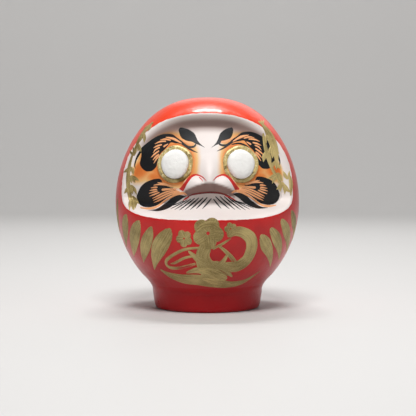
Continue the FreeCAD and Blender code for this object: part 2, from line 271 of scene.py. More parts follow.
def form_outline(form, steps, inset=0.0, warp=None):
    """Radius and height along the outline from neck to crown, evenly spaced along its length.

    warp turns a fraction of the length into another, to draw the steps together.
    """
    radii, heights = [], []
    for centre, size, start, end in form_arcs(form, inset):
        angle = np.linspace(start, end, 400)
        radii.append(centre[0] + size * np.cos(angle))
        heights.append(centre[1] + size * np.sin(angle))
    radius, height = np.concatenate(radii), np.concatenate(heights)
    filled = soft_max(radius, foot_radius(height, inset), form.fillet)
    radius = np.where(height < form.widest_height, filled, radius)
    run = np.concatenate(([0.0], np.cumsum(np.hypot(np.diff(radius), np.diff(height)))))
    place = np.linspace(0.0, 1.0, steps + 1)
    place = (warp(place) if warp else place) * run[-1]
    return np.maximum(np.interp(place, run, radius), 0.0), np.interp(place, run, height)


# Exponents of the opening's outline above and below its widest height.

POWER_ABOVE, POWER_BELOW = 2.3, 3.5


def opening_level(face, x, z, grow=0.0):
    """0 in the middle of the face opening and 1 on its outline, its sideways share, and above.

    A superellipse, (|x| / half width)^n + (|rise| / reach)^n, whose reach and exponent differ
    above and below its widest height.
    """
    above = z >= face.middle
    power = np.where(above, POWER_ABOVE, POWER_BELOW)
    reach = np.where(above, face.rise, face.fall) + grow
    across = (np.abs(x) / (face.half_width + grow)) ** power
    upright = (np.abs(z - face.middle) / reach) ** power
    total = np.maximum(across + upright, 1e-9)
    return total ** (1.0 / power), across / total, above


# The nose: its ridge, its nostrils, how the two blend, and the curves of the mouth and of the
# edge under the nose.

RIDGE_OUT, RIDGE_WIDE, RIDGE_FADE = 9.2 * MM, 6.8 * MM, (95 * MM, 121 * MM)
NOSTRIL_SPOT, NOSTRIL_OUT, NOSTRIL_POWER = (9.0, 93.4, 10.6, 8.3), 8.6 * MM, 0.62
NOSE_BLEND, NOSE_SINK = 1.8 * MM, 0.45 * MM
MOUTH_UP, MOUTH_FALL, MOUTH_WIDE = 88.9 * MM, 2.2 * MM, 14.0 * MM
EDGE_UP, EDGE_FALL, EDGE_WIDE, EDGE_POWER = 96.0 * MM, 5.4 * MM, 17.0 * MM, 1.6
LEAST_UNDERSIDE, UNDERSIDE_POWER = 0.4 * MM, 0.9


def nose_curves(aside, edge_up):
    """Heights of the mouth and of the nose's lower edge: up - fall (aside / wide)^power."""
    mouth = MOUTH_UP - MOUTH_FALL * (aside / MOUTH_WIDE) ** 2
    return mouth, edge_up - EDGE_FALL * (aside / EDGE_WIDE) ** EDGE_POWER


def nose_relief(face, x, z):
    """How far nose and nostrils stand out of the face.

    A bell-shaped ridge, out e^-(aside / wide)^2, that fades upward, and two domed nostrils, out
    (1 - ellipse)^power, with an underside that slants back from the nose's lower edge to the
    line of the mouth.
    """
    aside = np.abs(x - face.lean)
    ridge = RIDGE_OUT * np.exp(-(aside / RIDGE_WIDE) ** 2)
    ridge = ridge * fade(z, *RIDGE_FADE)
    flare = ellipse(aside, z, NOSTRIL_SPOT)
    nostril = NOSTRIL_OUT * np.maximum(1.0 - flare, 0.0) ** NOSTRIL_POWER
    front = np.maximum(soft_max(ridge, nostril, NOSE_BLEND) - NOSE_SINK, 0.0)
    mouth, edge = nose_curves(aside, EDGE_UP)
    edge = np.maximum(edge, mouth + LEAST_UNDERSIDE)
    under = np.clip((z - mouth) / (edge - mouth), 0.0, 1.0)
    return front * under ** UNDERSIDE_POWER


# The wall round the face: where it starts on the way to the opening's outline, above, below and
# beside the face, how softly it leaves the face, and the slope of the clearance beyond it.

WALL_ABOVE, WALL_BELOW, WALL_BESIDE = 0.82, 0.30, 0.87
WALL_BEND, CLEARANCE_SLOPE = 0.3, 0.13
SWELL_POWER, LEAST_SWELL = 2.3, 0.01


def face_depth(form, face, x, z, grow=0.0):
    """y of the carved face behind its opening.

    A swelling, -reach * square root of (1 - (x / half)^2), runs into the outer form along a
    sloping wall, (1 + bend) t^2 / (t + bend), that reaches it on the opening's outline. Outside
    the outline the surface stays in front of the outer form.
    """
    level, side, above = opening_level(face, x, z, grow)
    outer = -np.sqrt(np.maximum(form_radius(form, z) ** 2 - x ** 2, 0.0))
    lift = np.maximum(z - face.middle, 0.0) / face.swell_rise
    half = np.maximum(1.0 - lift ** SWELL_POWER, LEAST_SWELL) ** (1.0 / SWELL_POWER)
    half = face.swell_width * half
    reach = face.reach - MM * ((z - face.bulge) / face.curve) ** 2
    swelling = -reach * np.sqrt(np.maximum(1.0 - (x / half) ** 2, 0.0))
    swelling = np.minimum(swelling - nose_relief(face, x, z), 0.0)
    start = np.where(above, WALL_ABOVE, WALL_BELOW) * (1.0 - side) + WALL_BESIDE * side
    climb = np.maximum((level - start) / (1.0 - start), 0.0)
    wall = (1.0 + WALL_BEND) * climb ** 2 / (climb + WALL_BEND)
    inside = swelling + (outer - swelling) * wall
    return np.where(level < 1.0, inside, outer - CLEARANCE_SLOPE * (level - 1.0))


def front_surface(settings, x, z, inset=0.0):
    """Point of the front skin seen at (x, z): the outer form, or the face where it is carved."""
    form, face = settings.form, settings.face
    radius = form_radius(form, z, inset)
    outer = -np.sqrt(np.maximum(radius ** 2 - x ** 2, 0.0))
    carved = face_depth(form, face, x, z, inset) + inset
    return soft_max(outer, carved, face.rim_round)


def face_steps(t):
    """Draw the outline's steps together over the face: the sum of a weight that dips there."""
    middle, reach, soft, pull = 0.55, 0.30, 0.06, 0.55
    fine = np.linspace(0.0, 1.0, 2001)
    weight = 1.0 - pull * fade(np.abs(fine - middle), reach - soft, reach + soft)
    run = np.concatenate(([0.0], np.cumsum(0.5 * (weight[1:] + weight[:-1]))))
    return np.interp(t, run / run[-1], fine)


def front_grid(settings, across, up, inset):
    """Points of the front half: seen from the front, each sits where the skin is."""
    radius, height = form_outline(settings.form, up, inset, face_steps)
    angle = np.linspace(-math.pi / 2, math.pi / 2, across + 1)
    x = np.outer(radius, np.sin(angle))
    z = np.broadcast_to(height[:, None], x.shape)
    y = front_surface(settings, x, z, inset)
    y[:, 0] = 0.0
    y[:, -1] = 0.0
    return np.stack((x, np.minimum(y, 0.0), z), axis=-1)


def face_placer(settings):
    """A function that gives points and outward normals on the facets of the front skin."""
    grid = front_grid(settings, *FRONT_STEPS, 0.0)
    height, radius = grid[:, 0, 2], grid[:, -1, 0]
    rows, columns = grid.shape[:2]

    def depth(x, z):
        """y of the grid's facets at (x, z), bilinear between its points."""
        row = np.clip(np.interp(z, height, np.arange(rows)), 0, rows - 1.001)
        angle = np.arcsin(np.clip(x / np.interp(z, height, radius), -1.0, 1.0))
        column = np.clip((angle / math.pi + 0.5) * (columns - 1), 0, columns - 1.001)
        i, j = row.astype(int), column.astype(int)
        u, v = row - i, column - j
        y = grid[..., 1]
        return ((1 - u) * ((1 - v) * y[i, j] + v * y[i, j + 1])
                + u * ((1 - v) * y[i + 1, j] + v * y[i + 1, j + 1]))

    def at(x, z):
        """The point of the skin at (x, z)."""
        return np.stack((x, depth(x, z), z), axis=-1)

    def place(x, z):
        """That point, and the cross product of the skin's two slopes there."""
        step = 0.4 * MM
        normal = np.cross(at(x + step, z) - at(x - step, z), at(x, z + step) - at(x, z - step))
        return at(x, z), normal / np.linalg.norm(normal, axis=-1, keepdims=True)

    return place


def belly_place(settings, across, z):
    """Points and outward normals of the outer form, across measured round its widest girth."""
    form = settings.form
    angle = across / (form.width / 2)
    step = 0.15 * MM
    radius = form_radius(form, z)
    slope = (form_radius(form, z + step) - form_radius(form, z - step)) / (2 * step)
    point = np.stack((radius * np.sin(angle), -radius * np.cos(angle), z), axis=-1)
    normal = np.stack((np.sin(angle), -np.cos(angle), -slope), axis=-1)
    return point, normal / np.linalg.norm(normal, axis=-1, keepdims=True)


# ---------------------------------------------------------------- meshes

def grid_quads(rows, columns, first=0, wrap_rows=False, wrap_columns=False):
    """Corner numbers of the quads of a grid of points, row after row."""
    down = np.arange(rows if wrap_rows else rows - 1)[:, None]
    along = np.arange(columns if wrap_columns else columns - 1)[None, :]
    next_down, next_along = (down + 1) % rows, (along + 1) % columns
    corners = (down * columns + along, down * columns + next_along,
               next_down * columns + next_along, next_down * columns + along)
    return np.stack(np.broadcast_arrays(*corners), axis=-1).reshape(-1, 4) + first


# Points closer than this are merged, and edges sharper than this are shaded sharp.

MERGE_WITHIN = 1e-6
SHARP_FROM = math.radians(50.0)


def finish_mesh(name, points, faces, finish, uv=None, layers=None):
    """One object from points and faces, doubles merged, faces outward, shaded smooth."""
    mesh = bpy.data.meshes.new(name)
    mesh.from_pydata(points.tolist(), [], faces)
    for layer, values in (layers or {}).items():
        made = mesh.attributes.new(layer, "FLOAT", "POINT")
        made.data.foreach_set("value", np.ascontiguousarray(values, dtype=np.float32))
    if uv is not None:
        corners = np.empty(len(mesh.loops), dtype=np.int32)
        mesh.loops.foreach_get("vertex_index", corners)
        made = mesh.uv_layers.new(name="UVMap")
        made.data.foreach_set("uv", uv[corners].astype(np.float32).ravel())
    work = bmesh.new()
    work.from_mesh(mesh)
    bmesh.ops.remove_doubles(work, verts=work.verts, dist=MERGE_WITHIN)
    bmesh.ops.recalc_face_normals(work, faces=work.faces)
    work.to_mesh(mesh)
    work.free()
    mesh.polygons.foreach_set("use_smooth", np.ones(len(mesh.polygons), dtype=bool))
    mesh.set_sharp_from_angle(angle=SHARP_FROM)
    mesh.materials.append(finish)
    piece = bpy.data.objects.new(name, mesh)
    bpy.context.scene.collection.objects.link(piece)
    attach(piece, "root")
    return piece


def stitch(outer, inner, ratio):
    """Triangles between a fine row of points and a row with 1 / ratio as many steps."""
    faces = []
    for j in range(len(inner) - 1):
        fine = outer[j * ratio:(j + 1) * ratio + 1]
        half = ratio // 2
        for i in range(ratio):
            faces.append((fine[i], fine[i + 1], inner[j] if i < half else inner[j + 1]))
        faces.append((fine[half], inner[j + 1], inner[j]))
    return faces


def border(rows, columns, first):
    """The four edges of a grid of points, as lists of point numbers."""
    numbers = np.arange(rows * columns).reshape(rows, columns) + first
    return [edge.tolist() for edge in (numbers[0], numbers[:, -1], numbers[-1], numbers[:, 0])]


def shell_mesh(name, outer, inner, finish, layers=None):
    """A closed shell from an outer grid and a coarser inner grid, stitched along their edges."""
    rows, columns = outer.shape[:2]
    inner_rows, inner_columns = inner.shape[:2]
    first = rows * columns
    faces = grid_quads(rows, columns).tolist()
    faces += grid_quads(inner_rows, inner_columns, first).tolist()
    outside = border(rows, columns, 0)
    inside = border(inner_rows, inner_columns, first)
    for fine, coarse in zip(outside, inside):
        faces += stitch(fine, coarse, COARSER)
    points = np.concatenate((outer.reshape(-1, 3), inner.reshape(-1, 3)))
    spare = np.zeros(inner_rows * inner_columns)
    full = {key: np.concatenate((value.ravel(), spare + value.max()))
            for key, value in (layers or {}).items()}
    return finish_mesh(name, points, faces, finish, layers=full)


def turned_mesh(name, profile, finish, place=None, count=160, wobble=None):
    """A closed profile of (radius, height) turned about an axis.

    wobble scales the radius by a function of the angle, and place moves the points.
    """
    angle = np.linspace(0.0, 2 * math.pi, count, endpoint=False)
    radius = np.outer(wobble(angle) if wobble else np.ones(count), profile[:, 0])
    height = np.broadcast_to(profile[:, 1], radius.shape)
    across, deep = radius * np.cos(angle)[:, None], radius * np.sin(angle)[:, None]
    points = np.stack((across, deep, height), axis=-1)
    if place is not None:
        points = place(points)
    faces = grid_quads(count, len(profile), wrap_rows=True, wrap_columns=True).tolist()
    return finish_mesh(name, points.reshape(-1, 3), faces, finish)


def smooth_path(points, steps, eased=False):
    """A curve through points of any dimension: Catmull-Rom, evenly spaced along its length.

    The first two numbers of a point are its place. eased draws the steps together at both ends,
    as (1 - cos(pi t)) / 2.
    """
    points = np.asarray(points, dtype=float)
    ends = np.vstack((2 * points[0] - points[1], points, 2 * points[-1] - points[-2]))
    t = np.linspace(0.0, 1.0, 24, endpoint=False)[:, None]
    pieces = []
    for a, b, c, d in zip(ends, ends[1:], ends[2:], ends[3:]):
        pieces.append(0.5 * (2 * b + (c - a) * t + (2 * a - 5 * b + 4 * c - d) * t ** 2
                             + (3 * b - a - 3 * c + d) * t ** 3))
    curve = np.vstack(pieces + [points[-1:]])
    run = np.concatenate(([0.0], np.cumsum(np.linalg.norm(np.diff(curve[:, :2], axis=0), axis=1))))
    place = np.linspace(0.0, 1.0, steps)
    if eased:
        place = 0.5 - 0.5 * np.cos(math.pi * place)
    place = place * run[-1]
    return np.stack([np.interp(place, run, curve[:, k]) for k in range(curve.shape[1])], axis=-1)


# ---------------------------------------------------------------- brush marks

# Marks are stepped this finely, in millimetres along and across, within these counts.

ALONG_STEP, ALONG_COUNTS = 0.45, (14, 110)
ACROSS_STEP, ACROSS_COUNTS = 0.55, (4, 26)

# The rounded edge and the sunk underside of a mark, and its least half width, in millimetres, and
# how far apart marks lie on the UV map.

MARK_EDGE, MARK_SINK, THINNEST = 0.35, 0.3, 0.02
MARK_APART = 0.013

# For each kind of mark: how far its edge stands off the skin, and its thickness.

COATS = {
    "brow_ink": (0.05 * MM, 0.10 * MM),
    "brow_quills": (0.15 * MM, 0.10 * MM),
    "whisker_ink": (0.05 * MM, 0.10 * MM),
    "whisker_quills": (0.15 * MM, 0.10 * MM),
    "whisker_eye": (0.25 * MM, 0.07 * MM),
    "whisker_drop": (0.32 * MM, 0.07 * MM),
    "beard": (0.08 * MM, 0.10 * MM),
    "red_lines": (0.06 * MM, 0.08 * MM),
    "mouth_line": (0.06 * MM, 0.08 * MM),
    "gold_leaves": (0.05 * MM, 0.14 * MM),
    "gold_branch": (0.05 * MM, 0.16 * MM),
    "gold_twigs": (0.05 * MM, 0.14 * MM),
    "gold_blossoms": (0.12 * MM, 0.14 * MM),
    "gold_dabs": (0.22 * MM, 0.12 * MM),
    "gold_sprigs": (0.18 * MM, 0.14 * MM),
}


def steps_for(points):
    """How many steps a mark of this length needs."""
    points = np.asarray(points, dtype=float)[:, :2]
    run = np.linalg.norm(np.diff(points, axis=0), axis=1).sum()
    return int(np.clip(run / ALONG_STEP, *ALONG_COUNTS))


def stroke(path):
    """Rungs of a stroke from its middle line, (across, up, half width) in millimetres.

    Ends are rounded: at s from an end the half width is at most sqrt(s (2 w - s)) for half
    width w there.
    """
    line = smooth_path(path, steps_for(path), eased=True)
    run = np.gradient(line[:, :2], axis=0)
    side = np.stack((-run[:, 1], run[:, 0]), axis=-1)
    side = side / np.maximum(np.linalg.norm(side, axis=1, keepdims=True), 1e-9)
    far = np.concatenate(([0.0], np.cumsum(np.linalg.norm(np.diff(line[:, :2], axis=0), axis=1))))
    half = np.maximum(line[:, 2], THINNEST)
    for away, end in ((far, half[0]), (far[-1] - far, half[-1])):
        near = np.minimum(away, end)
        half = np.minimum(half, np.where(away < end, np.sqrt(near * (2 * end - near)), half))
    return np.hstack((line[:, :2] + side * half[:, None], line[:, :2] - side * half[:, None]))


def between(rungs):
    """Rungs of a mark drawn between two edges: (across, up) on one edge and on the other."""
    rungs = np.asarray(rungs, dtype=float)
    middle = (rungs[:, :2] + rungs[:, 2:]) / 2
    smooth = smooth_path(np.hstack((middle, rungs)), steps_for(middle), eased=True)
    return smooth[:, 2:]


def paint_marks(name, marks, place, finish, side="", dry=0.0):
    """One piece of many paint marks, each a closed sliver that lies on a surface.

    place gives points and outward normals at (across, up). A mark rises from base to base +
    thick over a rounded edge, thick * sqrt(e (2 - e)) with e the distance to the edge over
    0.35 mm, and its underside is sunk 0.3 mm. The marks of one piece lie apart on its UV map.
    """
    base, thick = COATS[name]
    points, faces, uv, dryness = [], [], [], []
    first = 0
    for rungs in marks:
        rungs = np.asarray(rungs) * MM
        left, right = rungs[:, None, :2], rungs[:, None, 2:]
        width = np.linalg.norm(rungs[:, :2] - rungs[:, 2:], axis=1)
        count = int(np.clip(width.max() / (ACROSS_STEP * MM), *ACROSS_COUNTS))
        share = 0.5 - 0.5 * np.cos(np.linspace(0.0, math.pi, count + 1))
        spot = left + (right - left) * share[None, :, None]
        edge = np.minimum(share, 1.0 - share)[None, :] * width[:, None]
        edge = np.minimum(edge / (MARK_EDGE * MM), 1.0)
        skin, normal = place(spot[..., 0], spot[..., 1])
        rise = base + thick * np.sqrt(edge * (2.0 - edge))
        top = skin + normal * rise[..., None]
        low = (skin - normal * MARK_SINK * MM)[:, ::-1]
        grid = np.concatenate((top, low), axis=1)
        rows, columns = grid.shape[:2]
        points.append(grid.reshape(-1, 3))
        faces += grid_quads(rows, columns, first, wrap_columns=True).tolist()
        faces.append(list(range(first, first + columns)))
        faces.append(list(range(first + (rows - 1) * columns, first + rows * columns)))
        middle = (rungs[:, :2] + rungs[:, 2:]) / 2
        run = np.concatenate(([0.0], np.cumsum(np.linalg.norm(np.diff(middle, axis=0), axis=1))))
        along = np.broadcast_to(run[:, None], (rows, columns))
        across = (share - 0.5)[None, :] * width[:, None] + len(points) * MARK_APART
        across = np.concatenate((across, across[:, ::-1]), axis=1)
        uv.append(np.stack((along, across), axis=-1).reshape(-1, 2))
        dryness.append((dry * along / run[-1]).reshape(-1))
        first += rows * columns
    return finish_mesh(f"{name}_{side}" if side else name, np.concatenate(points), faces, finish,
                       np.concatenate(uv), {"dry": np.concatenate(dryness)})


# Marks on one side of the face, in millimetres: (outward, up) and half width along a middle
# line, or both edges.

BROW_HEAD = (
    (21, 134.5, 21, 134), (20, 136, 20.5, 132), (18, 136, 19.5, 129.5), (14.5, 135, 17.5, 127.5),
    (11, 133, 14, 126), (9, 131, 11, 125.5), (7.5, 127.5, 8.5, 124), (6, 125, 7, 123.5),
    (4, 123, 4.5, 122.5), (1.5, 121, 1.5, 121))
BROW_WING = (
    (8.5, 124, 8, 123.5), (9.5, 123, 8.5, 122), (10.5, 122.5, 10.5, 121), (13.5, 122.5, 13.5, 121),
    (16, 124, 17, 122.5), (19, 126.5, 19.5, 124), (22, 128.5, 23, 124.5), (25.5, 131, 26.5, 125),
    (31.5, 131.5, 28.5, 123), (37.5, 129.5, 30.5, 120.5), (43.5, 125.5, 34, 117),
    (48.5, 121, 35, 114), (48.5, 115.5, 36, 111.5), (49.5, 110.5, 36.5, 109.5),
    (49, 108, 37, 107.5), (47, 105.5, 40, 104.5), (44.5, 104, 43, 104))
BROW_TAIL = (
    (47, 122, 0.9), (50.5, 116.5, 0.8), (52.5, 112.5, 0.6), (53.5, 108.5, 0.4), (53, 106, 0.1))
BROW_LASH = ((17.5, 123, 0.2), (14, 121, 0.6), (10.5, 119, 0.5), (7, 117.5, 0.1))
LEFT_LASH = ((17.5, 123.6, 0.3), (23.5, 124.3, 0.6), (29, 122, 0.6), (32.5, 118, 0.2))
BROW_DROP = ((19, 127, 0.2), (15.5, 125.3, 0.7), (12.5, 124.2, 0.95), (9.8, 123.8, 0.9))
BROW_QUILLS = (
    ((30.5, 129, 0.2), (24.5, 127.6, 0.9), (18.5, 124.3, 0.3)),
    ((34.5, 127, 0.15), (30.5, 127.5, 0.6), (26.5, 126.5, 0.5)),
    ((38.5, 124, 0.15), (34.5, 125.7, 0.6), (30, 126, 0.5)),
    ((39.5, 121, 0.15), (36.5, 122.5, 0.6), (33, 123.5, 0.5)),
    ((39.5, 117.5, 0.15), (37.5, 120, 0.55), (34.5, 121.5, 0.5)),
    ((41, 114, 0.15), (38.5, 116.5, 0.6), (35, 119, 0.5)),
    ((39.7, 112, 0.15), (37.5, 114.7, 0.6), (35, 116.5, 0.5)),
    ((39, 109.7, 0.15), (36.8, 113.2, 0.6), (34.5, 115.5, 0.5)),
    ((32, 121.8, 0.6), (30.5, 122.8, 0.6), (28.5, 124, 0.3)))
WHISKER_LOBE = (
    (52, 86, 52, 84.5), (50.5, 89.5, 51, 81.5), (48.5, 93, 48.5, 79), (45, 96, 45, 78),
    (41.5, 97.5, 41.5, 78), (38, 98.5, 37.5, 79), (34, 98.5, 34, 81), (32, 95.2, 31, 83.5),
    (29.5, 93.5, 28, 85.5), (26.5, 92.5, 25, 87), (23.5, 91, 23, 88), (21, 89, 21, 89))
WHISKER_LEAF = (
    (43, 76, 43, 76), (38.5, 76.5, 38.5, 75.5), (35.5, 77.5, 34.5, 75.5), (32.5, 79.5, 30.5, 76.5),
    (29, 82, 27, 78), (26, 85, 24, 80), (22.5, 86.5, 21, 82.5), (19, 87, 18, 84.5),
    (15.5, 86, 15.5, 86))
WHISKER_QUILLS = (
    ((36, 96, 0.2), (31.5, 95, 0.6), (25, 93.4, 0.4)),
    ((39, 94, 0.2), (34.5, 94.6, 0.55), (30, 94, 0.3), (25, 93, 0.1)),
    ((41, 92, 0.2), (38, 92.5, 0.55), (36, 92.5, 0.4)),
    ((42, 90, 0.2), (38.5, 90.7, 0.55), (36, 91, 0.4)),
    ((42.5, 88, 0.2), (39, 89, 0.55), (35.5, 90, 0.4)),
    ((42, 86, 0.2), (38.5, 87.3, 0.55), (34.5, 89, 0.4)),
    ((40, 84.3, 0.2), (36, 86.2, 0.55), (32.5, 88, 0.55), (28, 89.7, 0.5), (22.5, 91, 0.3)),
    ((39.5, 82.8, 0.2), (36, 84.5, 0.55), (31.5, 86.7, 0.6), (27, 88.6, 0.6), (21.5, 90.2, 0.5)),
    ((39, 81.2, 0.2), (35, 83, 0.55), (30.5, 85.3, 0.6), (26, 87.5, 0.6), (20, 89.6, 0.6)))
WHISKER_BAND = (
    (49, 77.6, 0.3), (43.5, 77, 0.6), (39, 77.5, 0.7), (35.5, 79, 0.7), (32, 81.8, 0.7),
    (27, 85, 0.7), (22.5, 87.4, 0.9), (17.5, 88.3, 0.9), (14.5, 87, 0.2))
WHISKER_EYE = (
    (36.4, 90.8, 2.1), (34.5, 91, 2.2), (32, 91.1, 1.9), (29.5, 91.4, 1.3), (24.5, 92.2, 0.1))
WHISKER_DROP = ((33, 90.7, 0.8), (30.5, 90.9, 0.85), (27.5, 91.2, 0.6), (22, 91.6, 0.1))
NOSTRIL = (
    (22, 91.5, 19, 89.6), (20.4, 93, 17.7, 91.9), (18.1, 96, 16.2, 94.8), (15.4, 99.4, 14, 98),
    (12.7, 101.5, 11.9, 100.1), (9.7, 102.2, 9.6, 100.9), (7.1, 101.6, 7.3, 100.5),
    (4.5, 100.1, 4.8, 99.3), (2.2, 97.4, 2.2, 97.2))
NOSTRIL_BRANCH = ((7.6, 99.9, 0.25), (6, 98.7, 0.35), (4.6, 96.8, 0.1))
MOUTH_CORNERS = (
    ((-17.8, 82.8, 0.1), (-15.6, 84.4, 0.6), (-13, 85.8, 0.35)),
    ((12.5, 86.9, 0.3), (17, 84.9, 0.6), (21.6, 82.3, 0.1)))
MOUTH = (
    (-14.5, 85.6, 0.15), (-11, 87.2, 0.55), (-7.5, 88.0, 0.65), (-1, 88.8, 0.7), (4, 88.9, 0.7),
    (9, 88.4, 0.65), (13.5, 87.1, 0.55), (17, 85.6, 0.15))

# Each side's name and sign, and how its marks differ: see to_side.

BROW_SIDES = (
    ("right", -1, {}, {}),
    ("left", 1, {"grow": 0.83, "shift": 1.6}, {"lift": 1.0, "rise": 0.02}))
WHISKER_SIDES = (
    ("right", -1, {}),
    ("left", 1, {"grow": 0.96, "shift": 3.4, "lift": 1.6}))

# Hairs of the beard: (across, up) at the root and at the tip, and half width.

HAIRS = (
    (3, 84.6, -3.6, 77.2, 0.66), (0, 85.4, -8, 77.2, 0.7), (-2.9, 85.2, -12.2, 76.7, 0.68),
    (-6, 85.1, -16.2, 76.4, 0.64), (-9, 84.8, -20.2, 76.2, 0.62), (-11.8, 84.2, -23.6, 76.4, 0.56),
    (-14.4, 83.5, -26.6, 77, 0.5), (-16.8, 82.8, -29.4, 77.8, 0.42),
    (4.4, 84.2, 10, 77.4, 0.64), (5.8, 86, 16, 77, 0.68), (9, 86.1, 20, 76.6, 0.64),
    (12, 86, 24, 76.4, 0.6), (14.8, 85.4, 27.6, 76.2, 0.56), (17.2, 84.4, 30.8, 76.6, 0.5),
    (19.4, 83.4, 33.8, 77.2, 0.44), (21.4, 82.6, 36.4, 78.2, 0.36))

# Marks on the belly: (along the widest girth from the middle, up) and half width.

LEAVES = (
    ((-88.5, 84, 0.8), (-91.5, 76, 2.8), (-95, 67, 3.2), (-101, 57, 0.2)),
    ((-71, 72.5, 1.5), (-74, 68, 4.2), (-78, 61.5, 5), (-83, 55, 3.4), (-89, 47.5, 0.2)),
    ((-55, 68.5, 1.5), (-60, 62.5, 5), (-66, 55.5, 5.8), (-72, 48.5, 4), (-79.5, 41, 0.2)),
    ((-43.5, 64.5, 1.3), (-47.5, 58, 4.2), (-54, 50.5, 5), (-60, 44, 3.4), (-66, 37, 0.2)),
    ((-27.5, 63.5, 2), (-32, 57.5, 5.2), (-39, 50.5, 6.3), (-46, 43, 4.6), (-55, 32, 0.2)),
    ((42.5, 58.5, 1.8), (49, 52, 4.8), (58.5, 44, 3.4), (69, 33.5, 0.2)),
    ((51, 63, 1.8), (60, 55.8, 4.4), (70, 47.5, 3.2), (80, 38, 0.2)),
    ((62, 69, 1.8), (72, 61, 4.6), (82.5, 52.5, 3.2), (92, 43, 0.2)),
    ((76, 75, 1.5), (83.5, 68, 4.4), (92.5, 60.5, 3), (100, 51, 0.2)))
BRANCH = (
    ((-47, 32.5, 0.6), (-38.5, 28.5, 2.3), (-25.5, 26, 3.6), (-9.5, 25.5, 4.2), (5, 23.8, 4),
     (23.5, 21.6, 2.4), (42, 23.5, 1.8), (56.5, 31, 0.3)),
    ((14, 38, 1.5), (20, 36, 3.4), (27.5, 36, 4.4), (34.5, 40.5, 5.2), (36.5, 48.5, 5.2),
     (34, 56, 4.6), (27.5, 60.5, 3.8), (21, 61.5, 3.2), (15, 58, 1.5)),
    ((1, 54, 4), (-3.5, 45, 5.5), (-2, 37, 7), (4, 30.5, 7.5), (14, 26.5, 4)),
    ((-15, 47.5, 0.8), (-7, 41, 2.6), (4, 37, 3.4), (16, 32.5, 2.6), (25, 28, 0.6)),
    ((-20, 31, 0.6), (-10, 33, 2.2), (2, 33, 3), (12, 38, 2.4), (17, 46, 0.6)))
TWIGS = (
    ((-6, 50, 0.8), (-18, 48.5, 1), (-30, 43.5, 1.1), (-37, 39, 1.2), (-36, 35, 1.2),
     (-26, 34.5, 1.1), (-10, 38, 0.9)),
    ((-8, 44, 0.7), (-18, 42.5, 0.9), (-28, 38.5, 0.9), (-33, 37.5, 0.4)),
    ((8, 52, 0.8), (16, 46, 1.4), (23, 40, 1.6), (28, 35, 0.6)),
    ((0, 36, 1.2), (8, 39, 1.2), (16, 34, 1.4), (24, 32, 1.2)),
    ((4, 49, 0.8), (12, 53, 0.9), (18, 57, 0.6)))
# Pale gold dabs: brush marks; the lower two also stand in for the lit bottom of the emblem, a
# painted highlight.
PALE_DABS_AND_HIGHLIGHT = (
    ((-8, 34, 0.8), (1, 32.5, 2.6), (10, 29.5, 3.4), (20, 26.5, 1.4)),
    ((-5, 26.5, 0.6), (4, 24.8, 2.2), (14, 23.6, 2.4), (26, 23, 0.6)),
    ((-8, 62, 0.8), (-3, 66, 2), (4, 67, 2), (9, 64, 0.8)))
BLOSSOMS = ((0.5, 60.5, 11.5), (-17.5, 56.5, 6.2), (17, 63.5, 4.6))

# Gold sprigs beside the face: (across, up, aim in degrees, spread, leaves, length).

SPRIGS_RIGHT = (
    (-41.5, 138.5, 225, 40, 3, 5.5), (-46.5, 132.5, 245, 50, 3, 6.5), (-50.5, 124.5, 262, 50, 3, 7),
    (-54, 115.5, 100, 60, 3, 6), (-56, 107.5, 250, 70, 3, 7), (-56.5, 101, 290, 80, 4, 7),
    (-56, 94, 265, 70, 4, 8), (-55, 86, 285, 50, 3, 9))
SPRIGS_LEFT = (
    (41, 138.5, 110, 70, 3, 4), (43.5, 131, 300, 60, 3, 7), (47.5, 123, 282, 60, 4, 8.5),
    (43, 119, 275, 40, 2, 10), (50, 112, 275, 60, 3, 8), (52.5, 103, 252, 90, 4, 8.5),
    (55.5, 96, 268, 80, 4, 8.5), (59, 98, 95, 40, 2, 6))
STEMS_RIGHT = (
    ((-40, 140.5, 0.4), (-45.5, 135, 1.3), (-50, 128, 1.4), (-53.5, 121, 0.4)),
    ((-54.5, 119, 0.4), (-57.5, 108, 1.2), (-58.5, 97, 1.5), (-57, 85, 1.5), (-53.5, 76, 0.8)))
STEMS_LEFT = (
    ((39.5, 140, 0.6), (44, 134, 2), (47.5, 127, 2.9), (50, 119, 2.4), (51.5, 110, 0.8)),
    ((41, 132, 0.6), (42.5, 122, 1.3), (45, 112, 1.3), (49, 103, 1.1), (55.5, 93, 0.8)),
    ((60, 103, 0.4), (61.8, 95, 1.5), (61.5, 86, 0.4)))


def to_side(marks, side, grow=1.0, shift=0.0, lift=0.0, rise=0.0):
    """Marks drawn outward from the middle, moved to one side: across = side (grow out + shift),
    and up raised by lift + rise out."""
    moved = []
    for rungs in marks:
        rungs = np.array(rungs, dtype=float)
        for first in range(0, rungs.shape[1], 2):
            rungs[:, first + 1] += lift + rise * rungs[:, first]
            rungs[:, first] = side * (grow * rungs[:, first] + shift)
        moved.append(rungs)
    return moved


# Hairs: how much they bow, a scale on their half width, and how that changes along them.

HAIR_BOW, HAIR_WIDTH = 0.92, 0.74
HAIR_TAPER = ((0.0, 0.6), (0.3, 1.0), (0.7, 0.85), (1.0, 0.2))


def hair(root_x, root_z, tip_x, tip_z, half):
    """One hair of the beard: root + run t across, root + fall t^bow up, widest at a third."""
    run, fall = tip_x - root_x, tip_z - root_z
    return stroke([(root_x + run * t, root_z + fall * t ** HAIR_BOW, half * wide * HAIR_WIDTH)
                   for t, wide in HAIR_TAPER])


# Petals of a blossom: how many, and their radius and distance from the middle over its size.

PETALS, PETAL_SIZE, PETAL_REACH = 5, 0.46, 0.56


def blossom(x, z, size):
    """Round petals about a middle, each a stroke as wide as it is long, turned a little by size."""
    petal = PETAL_SIZE * size
    marks = []
    for k in range(PETALS):
        angle = math.radians(90 + 360 / PETALS * k + 4 * size)
        aim = np.array((math.cos(angle), math.sin(angle), 0.0))
        middle = np.array((x, z, petal)) + PETAL_REACH * size * aim
        marks.append(stroke((middle - petal * aim, middle, middle + petal * aim)))
    return marks


